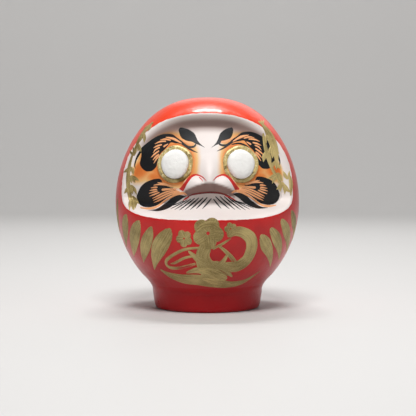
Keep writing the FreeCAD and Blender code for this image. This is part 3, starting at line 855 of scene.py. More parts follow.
# Leaves of a sprig: how much they sway, their half width over their length, how much it varies,
# and the half widths at root and tip in millimetres.

LEAF_SWAY, LEAF_WIDTH, LEAF_VARIES, LEAF_ROOT, LEAF_TIP = 0.16, 0.17, 0.2, 0.4, 0.1


def sprig(x, z, aim, spread, leaves, size):
    """Brushed leaves that fan out of one point, wide in the middle.

    Length, bend and width sway from leaf to leaf with the sine of its number and of its place.
    """
    marks = []
    for k in range(leaves):
        angle = math.radians(aim + spread * (k / (leaves - 1) - 0.5))
        run = size * (1.0 + LEAF_SWAY * math.sin(5 * k + x))
        bend = angle + LEAF_SWAY * math.sin(3 * k + z)
        half = LEAF_WIDTH * size + LEAF_VARIES * math.sin(4 * k + z)
        tip = (x + run * math.cos(angle), z + run * math.sin(angle))
        middle = (x + 0.5 * run * math.cos(bend), z + 0.5 * run * math.sin(bend))
        marks.append(stroke(((x, z, LEAF_ROOT), (*middle, half), (*tip, LEAF_TIP))))
    return marks


# ---------------------------------------------------------------- materials

COAT_WEIGHT, COAT_ROUGHNESS = 0.20, 0.12

# Heights between which the lacquer turns brighter towards the crown and darker towards the foot, and
# the rings' gold duller towards their bottom: painted light at the crown, painted shade at the foot
# and at the rings' bottom.

CROWN_PAINTED_LIGHT_BLEND, FOOT_PAINTED_SHADE_BLEND, RING_PAINTED_SHADE_BLEND = (0.080, 0.150), (0.005, 0.065), (0.096, 0.106)

# Second tints of the finishes, linear RGB.

SPECK_RED = (0.9, 0.10, 0.05)
DEEP_BLUSH = (0.62, 0.14, 0.025)
CHALK_CLOUD = (0.93, 0.86, 0.84)
# Painted shade: the brownish dark multiplied into the chalk under the hood, under the nose and on
# the lip.
PAINTED_SHADE_TINT = (0.30, 0.205, 0.185)
EYE_CREASE = (0.72, 0.70, 0.66)
RING_FLAKE = (0.92, 0.80, 0.46)
# Dark gold of worn patches, and painted shade at the rings' bottom.
RING_WEAR_AND_PAINTED_SHADE = (0.15, 0.095, 0.02)
INK_THIN = (0.030, 0.032, 0.038)
PEACH_THIN = (0.84, 0.47, 0.24)
RED_POOL = (0.62, 0.04, 0.03)
BRUSH_FLAKE = (0.80, 0.66, 0.36)
PAPER_FIBRE = (0.48, 0.40, 0.29)
PAPER_FLECK = (0.16, 0.12, 0.08)
CLAY_PALE = (0.42, 0.33, 0.24)
CLAY_CRACK = (0.10, 0.07, 0.05)
GLUE_PALE = (0.72, 0.66, 0.52)
FLOOR_CLOUD = (0.56, 0.55, 0.54)


class Wire:
    """A socket of a node tree; arithmetic on it adds Math nodes."""

    def __init__(self, finish, socket):
        self.finish = finish
        self.socket = socket

    def math(self, operation, *values, clamp=False):
        """A Math node with the given operation."""
        return self.finish.node("ShaderNodeMath", {"operation": operation, "use_clamp": clamp},
                                dict(enumerate(values)))

    def __add__(self, other):
        return self.math("ADD", self, other)

    def __radd__(self, other):
        return self.math("ADD", other, self)

    def __sub__(self, other):
        return self.math("SUBTRACT", self, other)

    def __rsub__(self, other):
        return self.math("SUBTRACT", other, self)

    def __mul__(self, other):
        return self.math("MULTIPLY", self, other)

    def __rmul__(self, other):
        return self.math("MULTIPLY", other, self)

    def clamp(self):
        """Kept between 0 and 1."""
        return self.math("ADD", self, 0.0, clamp=True)

    def step(self, low, high):
        """0 below low, 1 above high, smooth between."""
        return self.finish.node(
            "ShaderNodeMapRange", {"interpolation_type": "SMOOTHSTEP"},
            {"Value": self, "From Min": low, "From Max": high})


class Finish:
    """A procedural material in the making."""

    def __init__(self, name):
        self.material = bpy.data.materials.new(name)
        self.material.use_nodes = True
        self.tree = self.material.node_tree
        self.tree.nodes.clear()
        self.place = self.node("ShaderNodeTexCoord", {}, {}, "Object")

    def node(self, kind, settings, inputs, output=0):
        """One node: its settings first, then values or links for its sockets."""
        made = self.tree.nodes.new(kind)
        for key, value in settings.items():
            if key == "stops":
                for place, tint in value[2:]:
                    made.color_ramp.elements.new(place).color = (*tint, 1.0)
                for element, (place, tint) in zip((0, -1), value[:2]):
                    made.color_ramp.elements[element].position = place
                    made.color_ramp.elements[element].color = (*tint, 1.0)
            else:
                setattr(made, key, value)
        for key, value in inputs.items():
            if isinstance(value, Wire):
                self.tree.links.new(value.socket, made.inputs[key])
            else:
                made.inputs[key].default_value = value
        return Wire(self, made.outputs[output] if made.outputs else None)

    def noise(self, scale, detail=3.0, rough=0.5, where=None, stretch=None):
        """Noise from 0 to 1 with about scale features to the metre."""
        where = where or self.place
        if stretch:
            where = self.node("ShaderNodeMapping", {}, {"Vector": where, "Scale": stretch})
        return self.node("ShaderNodeTexNoise", {}, {
            "Vector": where, "Scale": scale, "Detail": detail, "Roughness": rough})

    def hairs(self, detail, rough, along, across):
        """Streaks of a brush: noise on the stroke's own UV map, coarse along and fine across."""
        uv = self.node("ShaderNodeTexCoord", {}, {}, "UV")
        return self.noise(1.0, detail, rough, where=uv, stretch=(along, across, 1.0))

    def height(self):
        """Height above the floor, in metres."""
        return self.node("ShaderNodeSeparateXYZ", {}, {"Vector": self.place}, "Z")

    def attribute(self, name):
        """A value painted on the piece's points."""
        return self.node("ShaderNodeAttribute", {"attribute_name": name}, {}, "Fac")

    def mix(self, amount, first, second, blend="MIX"):
        """Two colours mixed."""
        pair = [value if isinstance(value, Wire) else (*value, 1.0) for value in (first, second)]
        return self.node("ShaderNodeMix", {"data_type": "RGBA", "blend_type": blend},
                         {"Factor": amount, 6: pair[0], 7: pair[1]}, 2)

    def bump(self, height, strength, distance, normal=None):
        """A normal tilted by a height pattern."""
        inputs = {"Height": height, "Strength": strength, "Distance": distance}
        if normal is not None:
            inputs["Normal"] = normal
        return self.node("ShaderNodeBump", {}, inputs)

    def surface(self, **inputs):
        """The Principled shader that ends the tree, and the material."""
        named = {key.replace("_", " "): value for key, value in inputs.items()}
        shader = self.node("ShaderNodeBsdfPrincipled", {}, named)
        self.node("ShaderNodeOutputMaterial", {}, {"Surface": shader})
        return self.material


def lacquer_look(finish, paint):
    """Colour, roughness and bump of the red lacquer over moulded paper, with painted light towards
    the crown and painted shade towards the foot.
    """
    cloud = finish.noise(38.0, 4.0, 0.55)
    thick = finish.noise(9.0, 2.0)
    speck = finish.noise(900.0, 2.0)
    tint = finish.mix(cloud.step(0.25, 0.85), paint.red, paint.deep_red)
    tint = finish.mix(thick.step(0.45, 0.95) * 0.5, tint, paint.deep_red)
    tint = finish.mix(speck.step(0.62, 0.78) * 0.05, tint, SPECK_RED)
    height = finish.height()
    # Painted light towards the crown and painted shade towards the foot.
    tint = finish.mix(height.step(*CROWN_PAINTED_LIGHT_BLEND) * 0.85, tint, paint.crown_painted_light_red)
    tint = finish.mix((1.0 - height.step(*FOOT_PAINTED_SHADE_BLEND)) * 0.65, tint, paint.foot_painted_shade_red)
    rough = 0.20 + cloud * 0.16 + speck * 0.06
    peel = finish.noise(420.0, 2.0, 0.4)
    fibre = finish.noise(120.0, 5.0, 0.6)
    normal = finish.bump(fibre, 0.42, 0.0009)
    normal = finish.bump(peel, 0.18, 0.00022, normal)
    return tint, rough, normal


def make_lacquer(name, paint):
    """Glossy vermilion lacquer: two depths of red, faint orange peel over uneven paper, painted
    light at the crown and painted shade at the foot.
    """
    finish = Finish(name)
    tint, rough, normal = lacquer_look(finish, paint)
    return finish.surface(Base_Color=tint, Roughness=rough, Normal=normal, Coat_Weight=COAT_WEIGHT,
                          Coat_Roughness=COAT_ROUGHNESS, Specular_IOR_Level=0.15)


def make_front_paint(name, paint):
    """The front skin: red lacquer outside the opening, with painted light at the crown and painted
    shade at the foot, and blushed chalk white inside it, with painted shade under the hood, under
    the nose and on the lip.
    """
    finish = Finish(name)
    red, red_rough, red_normal = lacquer_look(finish, paint)
    edge = finish.attribute("opening") + (finish.noise(260.0, 2.0) - 0.5) * 0.9
    outside = edge.step(-0.12, 0.12)
    blush = finish.attribute("blush") + (finish.noise(70.0, 4.0) - 0.5) * 0.22
    grain = finish.noise(1500.0, 2.0)
    spray = finish.node("ShaderNodeValToRGB", {"stops": (
        (0.0, paint.white), (1.0, DEEP_BLUSH),
        (0.10, paint.white), (0.42, paint.yellow), (0.74, paint.orange))},
        {"Fac": blush + (grain - 0.5) * 0.10})
    shade = finish.noise(45.0, 3.0)
    chalk = finish.mix(shade.step(0.35, 0.8) * 0.30, spray, CHALK_CLOUD, "MULTIPLY")
    # Painted shade: the shade attribute darkens the chalk under the hood, under the nose and on the
    # lip.
    chalk = finish.mix(finish.attribute("shade"), chalk, PAINTED_SHADE_TINT, "MULTIPLY")
    paper = finish.noise(330.0, 6.0, 0.62)
    fleck = finish.noise(2400.0, 2.0)
    normal = finish.bump(paper, 0.30, 0.00035)
    normal = finish.bump(fleck, 0.12, 0.0001, normal)
    both = finish.node("ShaderNodeMix", {"data_type": "VECTOR"},
                       {"Factor": outside, 4: normal, 5: red_normal}, 1)
    rough = (1.0 - outside) * 0.52 + outside * red_rough
    return finish.surface(Base_Color=finish.mix(outside, chalk, red), Roughness=rough,
                          Normal=both, Coat_Weight=outside * COAT_WEIGHT,
                          Coat_Roughness=COAT_ROUGHNESS, Specular_IOR_Level=0.3)


def make_eye_white(name, paint):
    """Thick chalk white with the crumpled grain of the paper under it."""
    finish = Finish(name)
    crumple = finish.noise(210.0, 6.0, 0.66)
    grain = finish.noise(1400.0, 3.0, 0.6)
    tint = finish.mix(crumple.step(0.3, 0.75) * 0.25, paint.eye_white, EYE_CREASE)
    normal = finish.bump(crumple, 0.9, 0.0011)
    normal = finish.bump(grain, 0.35, 0.00018, normal)
    return finish.surface(Base_Color=tint, Roughness=0.62 + grain * 0.12, Normal=normal)


def make_ring_gold(name, paint):
    """Gold paint on the rings: pale flakes, dark worn patches, and painted shade that makes it
    duller towards the bottom.
    """
    finish = Finish(name)
    cloud = finish.noise(210.0, 5.0, 0.65)
    worn = finish.noise(95.0, 3.0, 0.6)
    flake = finish.noise(620.0, 4.0, 0.7)
    # Painted shade: the rings' gold darker towards their bottom, which faces down.
    low = 1.0 - finish.height().step(*RING_PAINTED_SHADE_BLEND)
    tint = finish.mix(cloud.step(0.46, 0.68), paint.pale_gold, paint.dark_gold)
    tint = finish.mix(flake.step(0.50, 0.60) * 0.85, tint, RING_FLAKE)
    tint = finish.mix((worn.step(0.50, 0.66) * 0.5 + low * 0.6).clamp(), tint, RING_WEAR_AND_PAINTED_SHADE)
    normal = finish.bump(flake, 0.45, 0.00022, finish.bump(cloud, 0.55, 0.0006))
    return finish.surface(Base_Color=tint, Metallic=0.5, Roughness=0.34 + cloud * 0.25,
                          Normal=normal)


def make_ink(name, paint):
    """Black ink with a slight sheen, thinner and greyer where the brush dragged."""
    finish = Finish(name)
    drag = finish.hairs(4.0, 0.6, 90.0, 1500.0)
    cloud = finish.noise(120.0, 3.0)
    tint = finish.mix(drag.step(0.45, 0.85) * cloud.step(0.3, 0.8), paint.ink, INK_THIN)
    paper = finish.bump(finish.noise(330.0, 6.0, 0.62), 0.25, 0.0003)
    normal = finish.bump(drag, 0.25, 0.00012, paper)
    return finish.surface(Base_Color=tint, Roughness=0.36 + drag * 0.22, Normal=normal,
                          Specular_IOR_Level=0.28)


def make_peach(name, paint):
    """Light orange brush paint, paler where it lies thin."""
    finish = Finish(name)
    drag = finish.hairs(3.0, 0.6, 60.0, 1300.0)
    tint = finish.mix(drag.step(0.35, 0.75) * 0.5, paint.peach, PEACH_THIN)
    return finish.surface(Base_Color=tint, Roughness=0.50 + drag * 0.1,
                          Normal=finish.bump(drag, 0.2, 0.0001))


def make_red_paint(name, red):
    """Red brush lines, brighter where the paint pools."""
    finish = Finish(name)
    drag = finish.hairs(3.0, 0.6, 80.0, 1300.0)
    tint = finish.mix(drag.step(0.4, 0.8) * 0.35, red, RED_POOL)
    return finish.surface(Base_Color=tint, Roughness=0.42 + drag * 0.1,
                          Normal=finish.bump(drag, 0.2, 0.0001))


def make_gold_brush(name, gold, thin_gold, under):
    """Brushed gold that runs dry along a stroke and lets what is under it show between hairs."""
    finish = Finish(name)
    hairs = finish.hairs(4.0, 0.65, 45.0, 1100.0)
    cloud = finish.noise(90.0, 4.0, 0.6)
    flake = finish.noise(2600.0, 2.0, 0.7)
    bare = (hairs * 0.75 + cloud * 0.25 + finish.attribute("dry") * 0.32).step(0.70, 0.84)
    patch = finish.noise(26.0, 3.0, 0.5)
    thin = (hairs * 0.45 + cloud * 0.3 + patch * 0.45).step(0.46, 0.76)
    tint = finish.mix(thin, gold, thin_gold)
    tint = finish.mix(flake.step(0.55, 0.70) * 0.5, tint, BRUSH_FLAKE)
    tint = finish.mix(bare, tint, under)
    normal = finish.bump(flake, 0.25, 0.0001, finish.bump(hairs, 0.35, 0.0002))
    return finish.surface(Base_Color=tint, Metallic=0.5 - bare * 0.5,
                          Roughness=0.42 + cloud * 0.2 - bare * 0.15, Normal=normal)


def make_paper(name, paint):
    """Bare pasted paper: fibres and a few dark flecks."""
    finish = Finish(name)
    fibre = finish.noise(300.0, 7.0, 0.7, stretch=(1.0, 3.0, 1.0))
    fleck = finish.noise(800.0, 2.0)
    tint = finish.mix(fibre.step(0.3, 0.7), paint.paper, PAPER_FIBRE)
    tint = finish.mix(fleck.step(0.70, 0.78) * 0.5, tint, PAPER_FLECK)
    return finish.surface(Base_Color=tint, Roughness=0.80 + fibre * 0.15,
                          Normal=finish.bump(fibre, 0.5, 0.0004))


def make_clay(name, paint):
    """Hand-pressed dried clay: crumbly, with fine cracks."""
    finish = Finish(name)
    lump = finish.noise(90.0, 5.0, 0.65)
    crack = finish.node("ShaderNodeTexVoronoi", {"feature": "DISTANCE_TO_EDGE"},
                        {"Vector": finish.place, "Scale": 130.0})
    gap = 1.0 - crack.step(0.0, 0.06)
    tint = finish.mix(lump.step(0.3, 0.7), paint.clay, CLAY_PALE)
    tint = finish.mix(gap * 0.6, tint, CLAY_CRACK)
    return finish.surface(Base_Color=tint, Roughness=0.85 + lump * 0.1,
                          Normal=finish.bump(lump - gap * 0.4, 0.6, 0.0012))


def make_glue(name, paint):
    """Dried glue: milky, pitted by small bubbles."""
    finish = Finish(name)
    cloud = finish.noise(110.0, 3.0)
    bubble = finish.node("ShaderNodeTexVoronoi", {}, {"Vector": finish.place, "Scale": 500.0})
    tint = finish.mix(cloud.step(0.3, 0.7), paint.glue, GLUE_PALE)
    return finish.surface(Base_Color=tint, Roughness=0.35 + cloud * 0.2,
                          Normal=finish.bump(bubble, 0.4, 0.0004))


def make_floor(name, stage):
    """Pale matt floor with the least unevenness."""
    finish = Finish(name)
    cloud = finish.noise(3.0, 3.0)
    tint = finish.mix(cloud * 0.10, stage.floor, FLOOR_CLOUD)
    return finish.surface(Base_Color=tint, Roughness=0.55 + cloud * 0.1)


def finish_named(name, maker, *values):
    """A material made once and shared."""
    return bpy.data.materials.get(name) or maker(name, *values)


def brush_finishes(paint):
    """The ink and the light orange that brows and whiskers share."""
    return (finish_named("black_ink", make_ink, paint),
            finish_named("peach_paint", make_peach, paint))


# ---------------------------------------------------------------- operators

# Painted values of the front skin, among them painted shade, a shadow painted into the chalk under
# the hood, under the nose and on the lip. Spots of airbrushed orange are (out, up, wide, tall) in
# millimetres and a strength. Other pairs are where a value starts and ends.

LINE_INSIDE, PAINTED_REACH = 0.3, 5.0
EYE_BLUSH, EYE_BLUSH_RADIUS, EYE_BLUSH_SOFT, EYE_BLUSH_ASIDE = 0.74, 13 * MM, 9.5 * MM, 0.3 * MM
BLUSH_SPOTS = (
    ((13.5, 112.0, 7.5, 12.0), 0.98), ((53.0, 105.0, 15.0, 9.5), 0.98),
    ((38.0, 100.0, 10.0, 6.0), 0.80), ((27.0, 128.5, 15.0, 5.0), 0.72),
    ((44.0, 117.0, 14.0, 10.0), 0.85), ((27.0, 97.0, 12.0, 5.0), 0.50))
NOSE_BARE, NOSTRIL_BARE, NOSTRIL_EDGE = (2.5 * MM, 13.5 * MM), (9.0, 93.0, 10.2, 8.0), (0.9, 1.15)
CHEEK_LOW, BLUSH_END = (87 * MM, 96 * MM), (0.84, 0.94)
# Painted shade under the hood, under the nose and on the lip: how strong it is, and where it starts
# and ends.
HOOD_SHADE, HOOD_START, HOOD_END, HOOD_UP = 0.92, (0.73, 0.85), (0.90, 0.985), (112 * MM, 130 * MM)
SHADE_EDGE_UP, NOSE_SIDES = 96.2 * MM, (17 * MM, 19.5 * MM)
LIP_SHADE, LIP_UP, LIP_SIDES = 0.42, (78 * MM, 87 * MM), (6 * MM, 20 * MM)


class DARUMA_OT_shell(bpy.types.Operator):
    """Both halves of the moulded shell, the face carved into the front one"""
    bl_idname = "daruma.shell"
    bl_label = "Shell"

    def back_grid(self, form, across, up, inset):
        """Points of the plain back half."""
        radius, height = form_outline(form, up, inset, face_steps)
        angle = np.linspace(math.pi / 2, 3 * math.pi / 2, across + 1)
        x = np.outer(radius, np.sin(angle))
        y = np.maximum(np.outer(radius, -np.cos(angle)), 0.0)
        return np.stack((x, y, np.broadcast_to(height[:, None], x.shape)), axis=-1)

    def blush(self, settings, x, z, level):
        """Airbrushed orange: a bell round each eye and soft spots, cleared off nose and rim."""
        face, eyes = settings.face, settings.eyes
        aside = np.abs(x - face.lean)
        offset = (eyes.left + eyes.right) / 2
        around = np.hypot(np.abs(x - EYE_BLUSH_ASIDE) - offset, z - eyes.height)
        blush = EYE_BLUSH * np.exp(-((around - EYE_BLUSH_RADIUS) / EYE_BLUSH_SOFT) ** 2)
        for spot, much in BLUSH_SPOTS:
            blush = np.maximum(blush, much * np.exp(-ellipse(np.abs(x), z, spot)))
        blush = blush * smooth_step(aside, *NOSE_BARE)
        blush = blush * smooth_step(ellipse(aside, z, NOSTRIL_BARE), *NOSTRIL_EDGE)
        return blush * smooth_step(z, *CHEEK_LOW) * fade(level, *BLUSH_END)

    def shade(self, face, x, z, level):
        """Painted shade: shadow painted into the chalk under the hood, on the underside of the nose
        and on the lip.
        """
        aside = np.abs(x - face.lean)
        hood = smooth_step(level, *HOOD_START) * fade(level, *HOOD_END)
        hood = HOOD_SHADE * hood * smooth_step(z, *HOOD_UP)
        mouth, edge = nose_curves(aside, SHADE_EDGE_UP)
        under = smooth_step(z, mouth - 0.6 * MM, mouth + 0.2 * MM)
        under = under * fade(z, edge - 0.9 * MM, edge + 0.6 * MM) * fade(aside, *NOSE_SIDES)
        lip = LIP_SHADE * smooth_step(z, *LIP_UP) * fade(z, mouth - 1 * MM, mouth + 1 * MM)
        return np.maximum(hood, np.maximum(under, lip * fade(aside, *LIP_SIDES)))

    def layers(self, settings, grid):
        """Painted values: millimetres past the opening's outline, roughly, blush and painted shade.
        """
        face = settings.face
        x, z = grid[..., 0], grid[..., 2]
        level, side, above = opening_level(face, x, z)
        reach = np.where(above, face.rise, face.fall) * (1 - side) + face.half_width * side
        opening = (level - 1.0) * reach / MM - LINE_INSIDE
        return {"opening": np.clip(opening, -PAINTED_REACH, PAINTED_REACH),
                "blush": self.blush(settings, x, z, level), "shade": self.shade(face, x, z, level)}

    def execute(self, context):
        settings = context.scene.daruma
        form, paint = settings.form, settings.paint
        across, up = FRONT_STEPS
        outer = front_grid(settings, across, up, 0.0)
        inner = front_grid(settings, across // COARSER, up // COARSER, form.wall)
        front = shell_mesh("shell_front_skin", outer, inner,
                           finish_named("front_paint", make_front_paint, paint),
                           self.layers(settings, outer))
        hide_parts("shell_front")
        outer = self.back_grid(form, BACK_STEPS, up, 0.0)
        inner = self.back_grid(form, BACK_STEPS // COARSER, up // COARSER, form.wall)
        back = shell_mesh("shell_back_skin", outer, inner,
                          finish_named("red_lacquer", make_lacquer, paint))
        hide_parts("shell_back")
        return {"FINISHED"}


# The foot: the spigot that plugs the neck, the bore through it, the floor over the weight, the
# room round the paper cover, and its softened toe as (radius, height) in millimetres.

SPIGOT, BORE, NEAR_AXIS = 36.0 * MM, 34.0 * MM, 1 * MM
BED_OVER_COVER, COVER_ROOM = 3.0 * MM, 0.1 * MM
TOE = ((34.4, 0.0), (37.6, 0.1), (39.3, 0.9), (40.15, 2.5), (40.6, 4.6))
TOE_HIGH, TOE_STEPS = 5.0 * MM, 30


class DARUMA_OT_foot(bpy.types.Operator):
    """The round foot that plugs the neck"""
    bl_idname = "daruma.foot"
    bl_label = "Foot"

    def execute(self, context):
        settings = context.scene.daruma
        neck = settings.form.neck_height
        cover, bed = COVER_HIGH.x + COVER_ROOM, COVER_HIGH.z + BED_OVER_COVER
        rise = np.linspace(TOE_HIGH, neck, TOE_STEPS)
        profile = np.vstack((
            smooth_path(np.array(TOE) * MM, TOE_STEPS),
            np.stack((form_radius(settings.form, rise), rise), axis=-1),
            (SPIGOT, neck), (SPIGOT, FOOT_HIGH.z), (BORE, FOOT_HIGH.z), (BORE, bed),
            (NEAR_AXIS, bed), (NEAR_AXIS, COVER_HIGH.z), (cover, COVER_HIGH.z), (cover, 0.0)))
        lacquer = finish_named("red_lacquer", make_lacquer, settings.paint)
        foot = turned_mesh("foot_skin", profile, lacquer, count=240)
        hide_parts("foot")
        return {"FINISHED"}


# The eyes' white domes and gold rings: steps of the dome, its two softened exponents, how deep
# both are sunk, and the small waves that make their outlines uneven.

DOME_STEPS, DOME_OUT, DOME_UP = 26, 0.9, 0.75
EYE_SINK, RING_SINK, RING_SPREAD = -1.5 * MM, -2.2 * MM, 0.4 * MM


def waver(*waves):
    """A function of the angle: 1 plus sine waves given as (height, number, start)."""
    def scale(angle):
        """How much the radius is scaled at an angle."""
        total = np.ones_like(angle)
        for height, number, start in waves:
            total = total + height * np.sin(number * angle + start)
        return total
    return scale


def eye_placer(settings, side):
    """Moves points from an eye's own frame, whose z looks out of the face, to their place."""
    eyes = settings.eyes
    x, z = np.array([eyes.left if side > 0 else -eyes.right]), np.array([eyes.height])
    y = face_depth(settings.form, settings.face, x, z)[0]
    yaw, pitch = side * eyes.yaw, eyes.pitch
    out = np.array((math.sin(yaw) * math.cos(pitch), -math.cos(yaw) * math.cos(pitch),
                    math.sin(pitch)))
    right = np.array((math.cos(yaw), math.sin(yaw), 0.0))
    up = np.cross(right, out)
    basis = np.stack((right, -up * eyes.tall, out))
    origin = np.array((x[0], y, z[0]))

    def place(points):
        """basis times point, plus origin."""
        return points @ basis + origin

    return place


class DARUMA_OT_eyes(bpy.types.Operator):
    """Two domed white eyes in raised gold rings"""
    bl_idname = "daruma.eyes"
    bl_label = "Eyes"

    def execute(self, context):
        settings = context.scene.daruma
        eyes, paint = settings.eyes, settings.paint
        disc, ring, crest = eyes.radius, eyes.ring, eyes.crest
        white = finish_named("eye_white", make_eye_white, paint)
        gold = finish_named("ring_gold", make_ring_gold, paint)
        reach = np.linspace(0.0, 1.0, DOME_STEPS)[1:] * math.pi / 2
        cap = np.stack((disc * np.sin(reach) ** DOME_OUT,
                        eyes.dome * np.cos(reach) ** DOME_UP), axis=-1)
        dome_profile = np.vstack(((0.0, eyes.dome), cap, (disc, EYE_SINK), (0.0, EYE_SINK)))
        ring_profile = smooth_path(np.array((
            (disc - 0.3 * MM, EYE_SINK), (disc + 0.1 * MM, 0.3 * MM),
            (disc + 0.5 * MM, 0.8 * crest), (disc + 1.4 * MM, crest),
            (disc + 2.4 * MM, 0.75 * crest), (ring, 0.1 * MM),
            (ring + RING_SPREAD, RING_SINK))), 28)
        for name, side in (("left", 1), ("right", -1)):
            place = eye_placer(settings, side)
            dome = turned_mesh(f"eye_{name}_dome", dome_profile, white, place, 96,
                               waver((0.012, 3, side), (0.008, 5, 0.0)))
            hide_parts(f"eye_{name}")
            band = turned_mesh(f"eye_rim_{name}_ring", ring_profile, gold, place, 120,
                               waver((0.014, 2, 1.0), (0.010, 5, side)))
            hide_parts(f"eye_rim_{name}")
        return {"FINISHED"}


class DARUMA_OT_brows(bpy.types.Operator):
    """Black winged brows with light quills, and the lash lines"""
    bl_idname = "daruma.brows"
    bl_label = "Brows"

    def execute(self, context):
        settings = context.scene.daruma
        place = face_placer(settings)
        ink, peach = brush_finishes(settings.paint)
        for name, side, head, wing in BROW_SIDES:
            dark = to_side([between(BROW_HEAD)], side, **head)
            dark += to_side([between(BROW_WING), stroke(BROW_TAIL), stroke(BROW_LASH)], side, **wing)
            if side > 0:
                dark.append(stroke(LEFT_LASH))
            light = to_side([stroke(line) for line in (BROW_DROP, *BROW_QUILLS)], side, **wing)
            paint_marks("brow_ink", dark, place, ink, name)
            paint_marks("brow_quills", light, place, peach, name)
        return {"FINISHED"}


class DARUMA_OT_whiskers(bpy.types.Operator):
    """Black moustache lobes and leaves with light quills, and the fine beard"""
    bl_idname = "daruma.whiskers"
    bl_label = "Whiskers"

    def execute(self, context):
        settings = context.scene.daruma
        place = face_placer(settings)
        ink, peach = brush_finishes(settings.paint)
        for name, side, move in WHISKER_SIDES:
            for kind, marks, finish, slot in (
                    ("ink", [between(WHISKER_LOBE), between(WHISKER_LEAF)], ink, "black_ink"),
                    ("quills", [stroke(line) for line in (*WHISKER_QUILLS, WHISKER_BAND)], peach,
                     "orange_paint"),
                    ("eye", [stroke(WHISKER_EYE)], ink, "black_ink"),
                    ("drop", [stroke(WHISKER_DROP)], peach, "orange_paint")):
                paint_marks(f"whisker_{kind}", to_side(marks, side, **move), place, finish, name)
        paint_marks("beard", [hair(*spot) for spot in HAIRS], place, ink)
        return {"FINISHED"}


class DARUMA_OT_red_lines(bpy.types.Operator):
    """Red lines round the nostrils and along the mouth"""
    bl_idname = "daruma.red_lines"
    bl_label = "Red lines"

    def execute(self, context):
        settings = context.scene.daruma
        paint = settings.paint
        lean = settings.face.lean / MM
        place = face_placer(settings)
        marks = [stroke(corner) for corner in MOUTH_CORNERS]
        for side in (-1, 1):
            lines = [between(NOSTRIL)]
            if side < 0:
                lines.append(stroke(NOSTRIL_BRANCH))
            marks += [rungs + np.array((lean, 0.0, lean, 0.0)) for rungs in to_side(lines, side)]
        paint_marks("red_lines", marks, place,
                    finish_named("red_paint", make_red_paint, paint.line_red))
        paint_marks("mouth_line", [stroke(MOUTH)], place,
                    finish_named("mouth_paint", make_red_paint, paint.mouth_red))
        return {"FINISHED"}


class DARUMA_OT_gold_marks(bpy.types.Operator):
    """Gold brush work: belly leaves, blossoming branch, and sprigs beside the face"""
    bl_idname = "daruma.gold_marks"
    bl_label = "Gold marks"

    def execute(self, context):
        settings = context.scene.daruma
        paint = settings.paint
        gold = finish_named("gold_brush", make_gold_brush, paint.gold, paint.dark_gold,
                            paint.deep_red)
        pale = finish_named("pale_gold", make_gold_brush, paint.pale_gold, paint.dark_gold,
                            paint.dark_gold)

        def belly(across, up):
            """The place of a mark on the belly."""
            return belly_place(settings, across, up)

        for name, marks, finish, dry in (
                ("gold_leaves", [stroke(line) for line in LEAVES], gold, 0.45),
                ("gold_branch", [stroke(line) for line in BRANCH], gold, 0.55),
                ("gold_twigs", [stroke(line) for line in TWIGS], gold, 0.8),
                ("gold_blossoms", [mark for spot in BLOSSOMS for mark in blossom(*spot)], gold, 0.3),
                ("gold_dabs", [stroke(line) for line in PALE_DABS_AND_HIGHLIGHT], pale, 0.5)):
            paint_marks(name, marks, belly, finish, dry=dry)
        skin = face_placer(settings)
        for name, sprigs, stems in (("right", SPRIGS_RIGHT, STEMS_RIGHT),
                                    ("left", SPRIGS_LEFT, STEMS_LEFT)):
            marks = [stroke(stem) for stem in stems]
            marks += [mark for spot in sprigs for mark in sprig(*spot)]
            paint_marks("gold_sprigs", marks, skin, pale, name, 0.2)
        return {"FINISHED"}


class DARUMA_OT_inner_parts(bpy.types.Operator):
    """Finishes for the pieces that the frame carries over: paper, clay and glue"""
    bl_idname = "daruma.inner_parts"
    bl_label = "Inner parts"

    def execute(self, context):
        paint = context.scene.daruma.paint
        paper = finish_named("bare_paper", make_paper, paint)
        for node, finish in (("seam_strips", paper), ("base_cover", paper),
                             ("base_weight", finish_named("dried_clay", make_clay, paint)),
                             ("weight_bedding", finish_named("dried_glue", make_glue, paint))):
            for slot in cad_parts[node].material_slots:
                slot.material = finish
        return {"FINISHED"}


# The stage: the floor's inner radius, flat radius, sweep and top, and its steps round; lamps as
# (name, place, point aimed at, size, power); the world's light; and the camera's fixed sizes.

FLOOR_INNER, FLOOR_FLAT, FLOOR_SWEEP, FLOOR_TOP, FLOOR_ROUND = 0.3, 1.7, 0.9, 2.4, 97
MIDDLE = (0.0, 0.0, 0.09)
LAMPS = (
    ("key", (0.0, -0.55, 0.95), MIDDLE, (0.40, 0.26), 9.6),
    ("fill", (-0.75, -0.90, 0.35), MIDDLE, (0.7, 0.7), 0.9),
    ("side", (0.95, -0.45, 0.45), MIDDLE, (0.6, 0.7), 0.8),
    ("strip", (0.0, 0.26, 0.95), (0.0, -0.05, 0.15), (0.34, 0.06), 4.0),
    ("back", (0.2, 1.0, 0.75), MIDDLE, (0.9, 0.5), 1.2),
    ("backdrop", (0.0, 0.7, 1.5), (0.0, 2.4, 0.3), (1.6, 0.6), 22.0))
WORLD_TINT, WORLD_STRENGTH = (1.0, 0.98, 0.96, 1.0), 0.13
SENSOR_MM, NEAREST, FARTHEST = 36.0, 0.01, 20.0


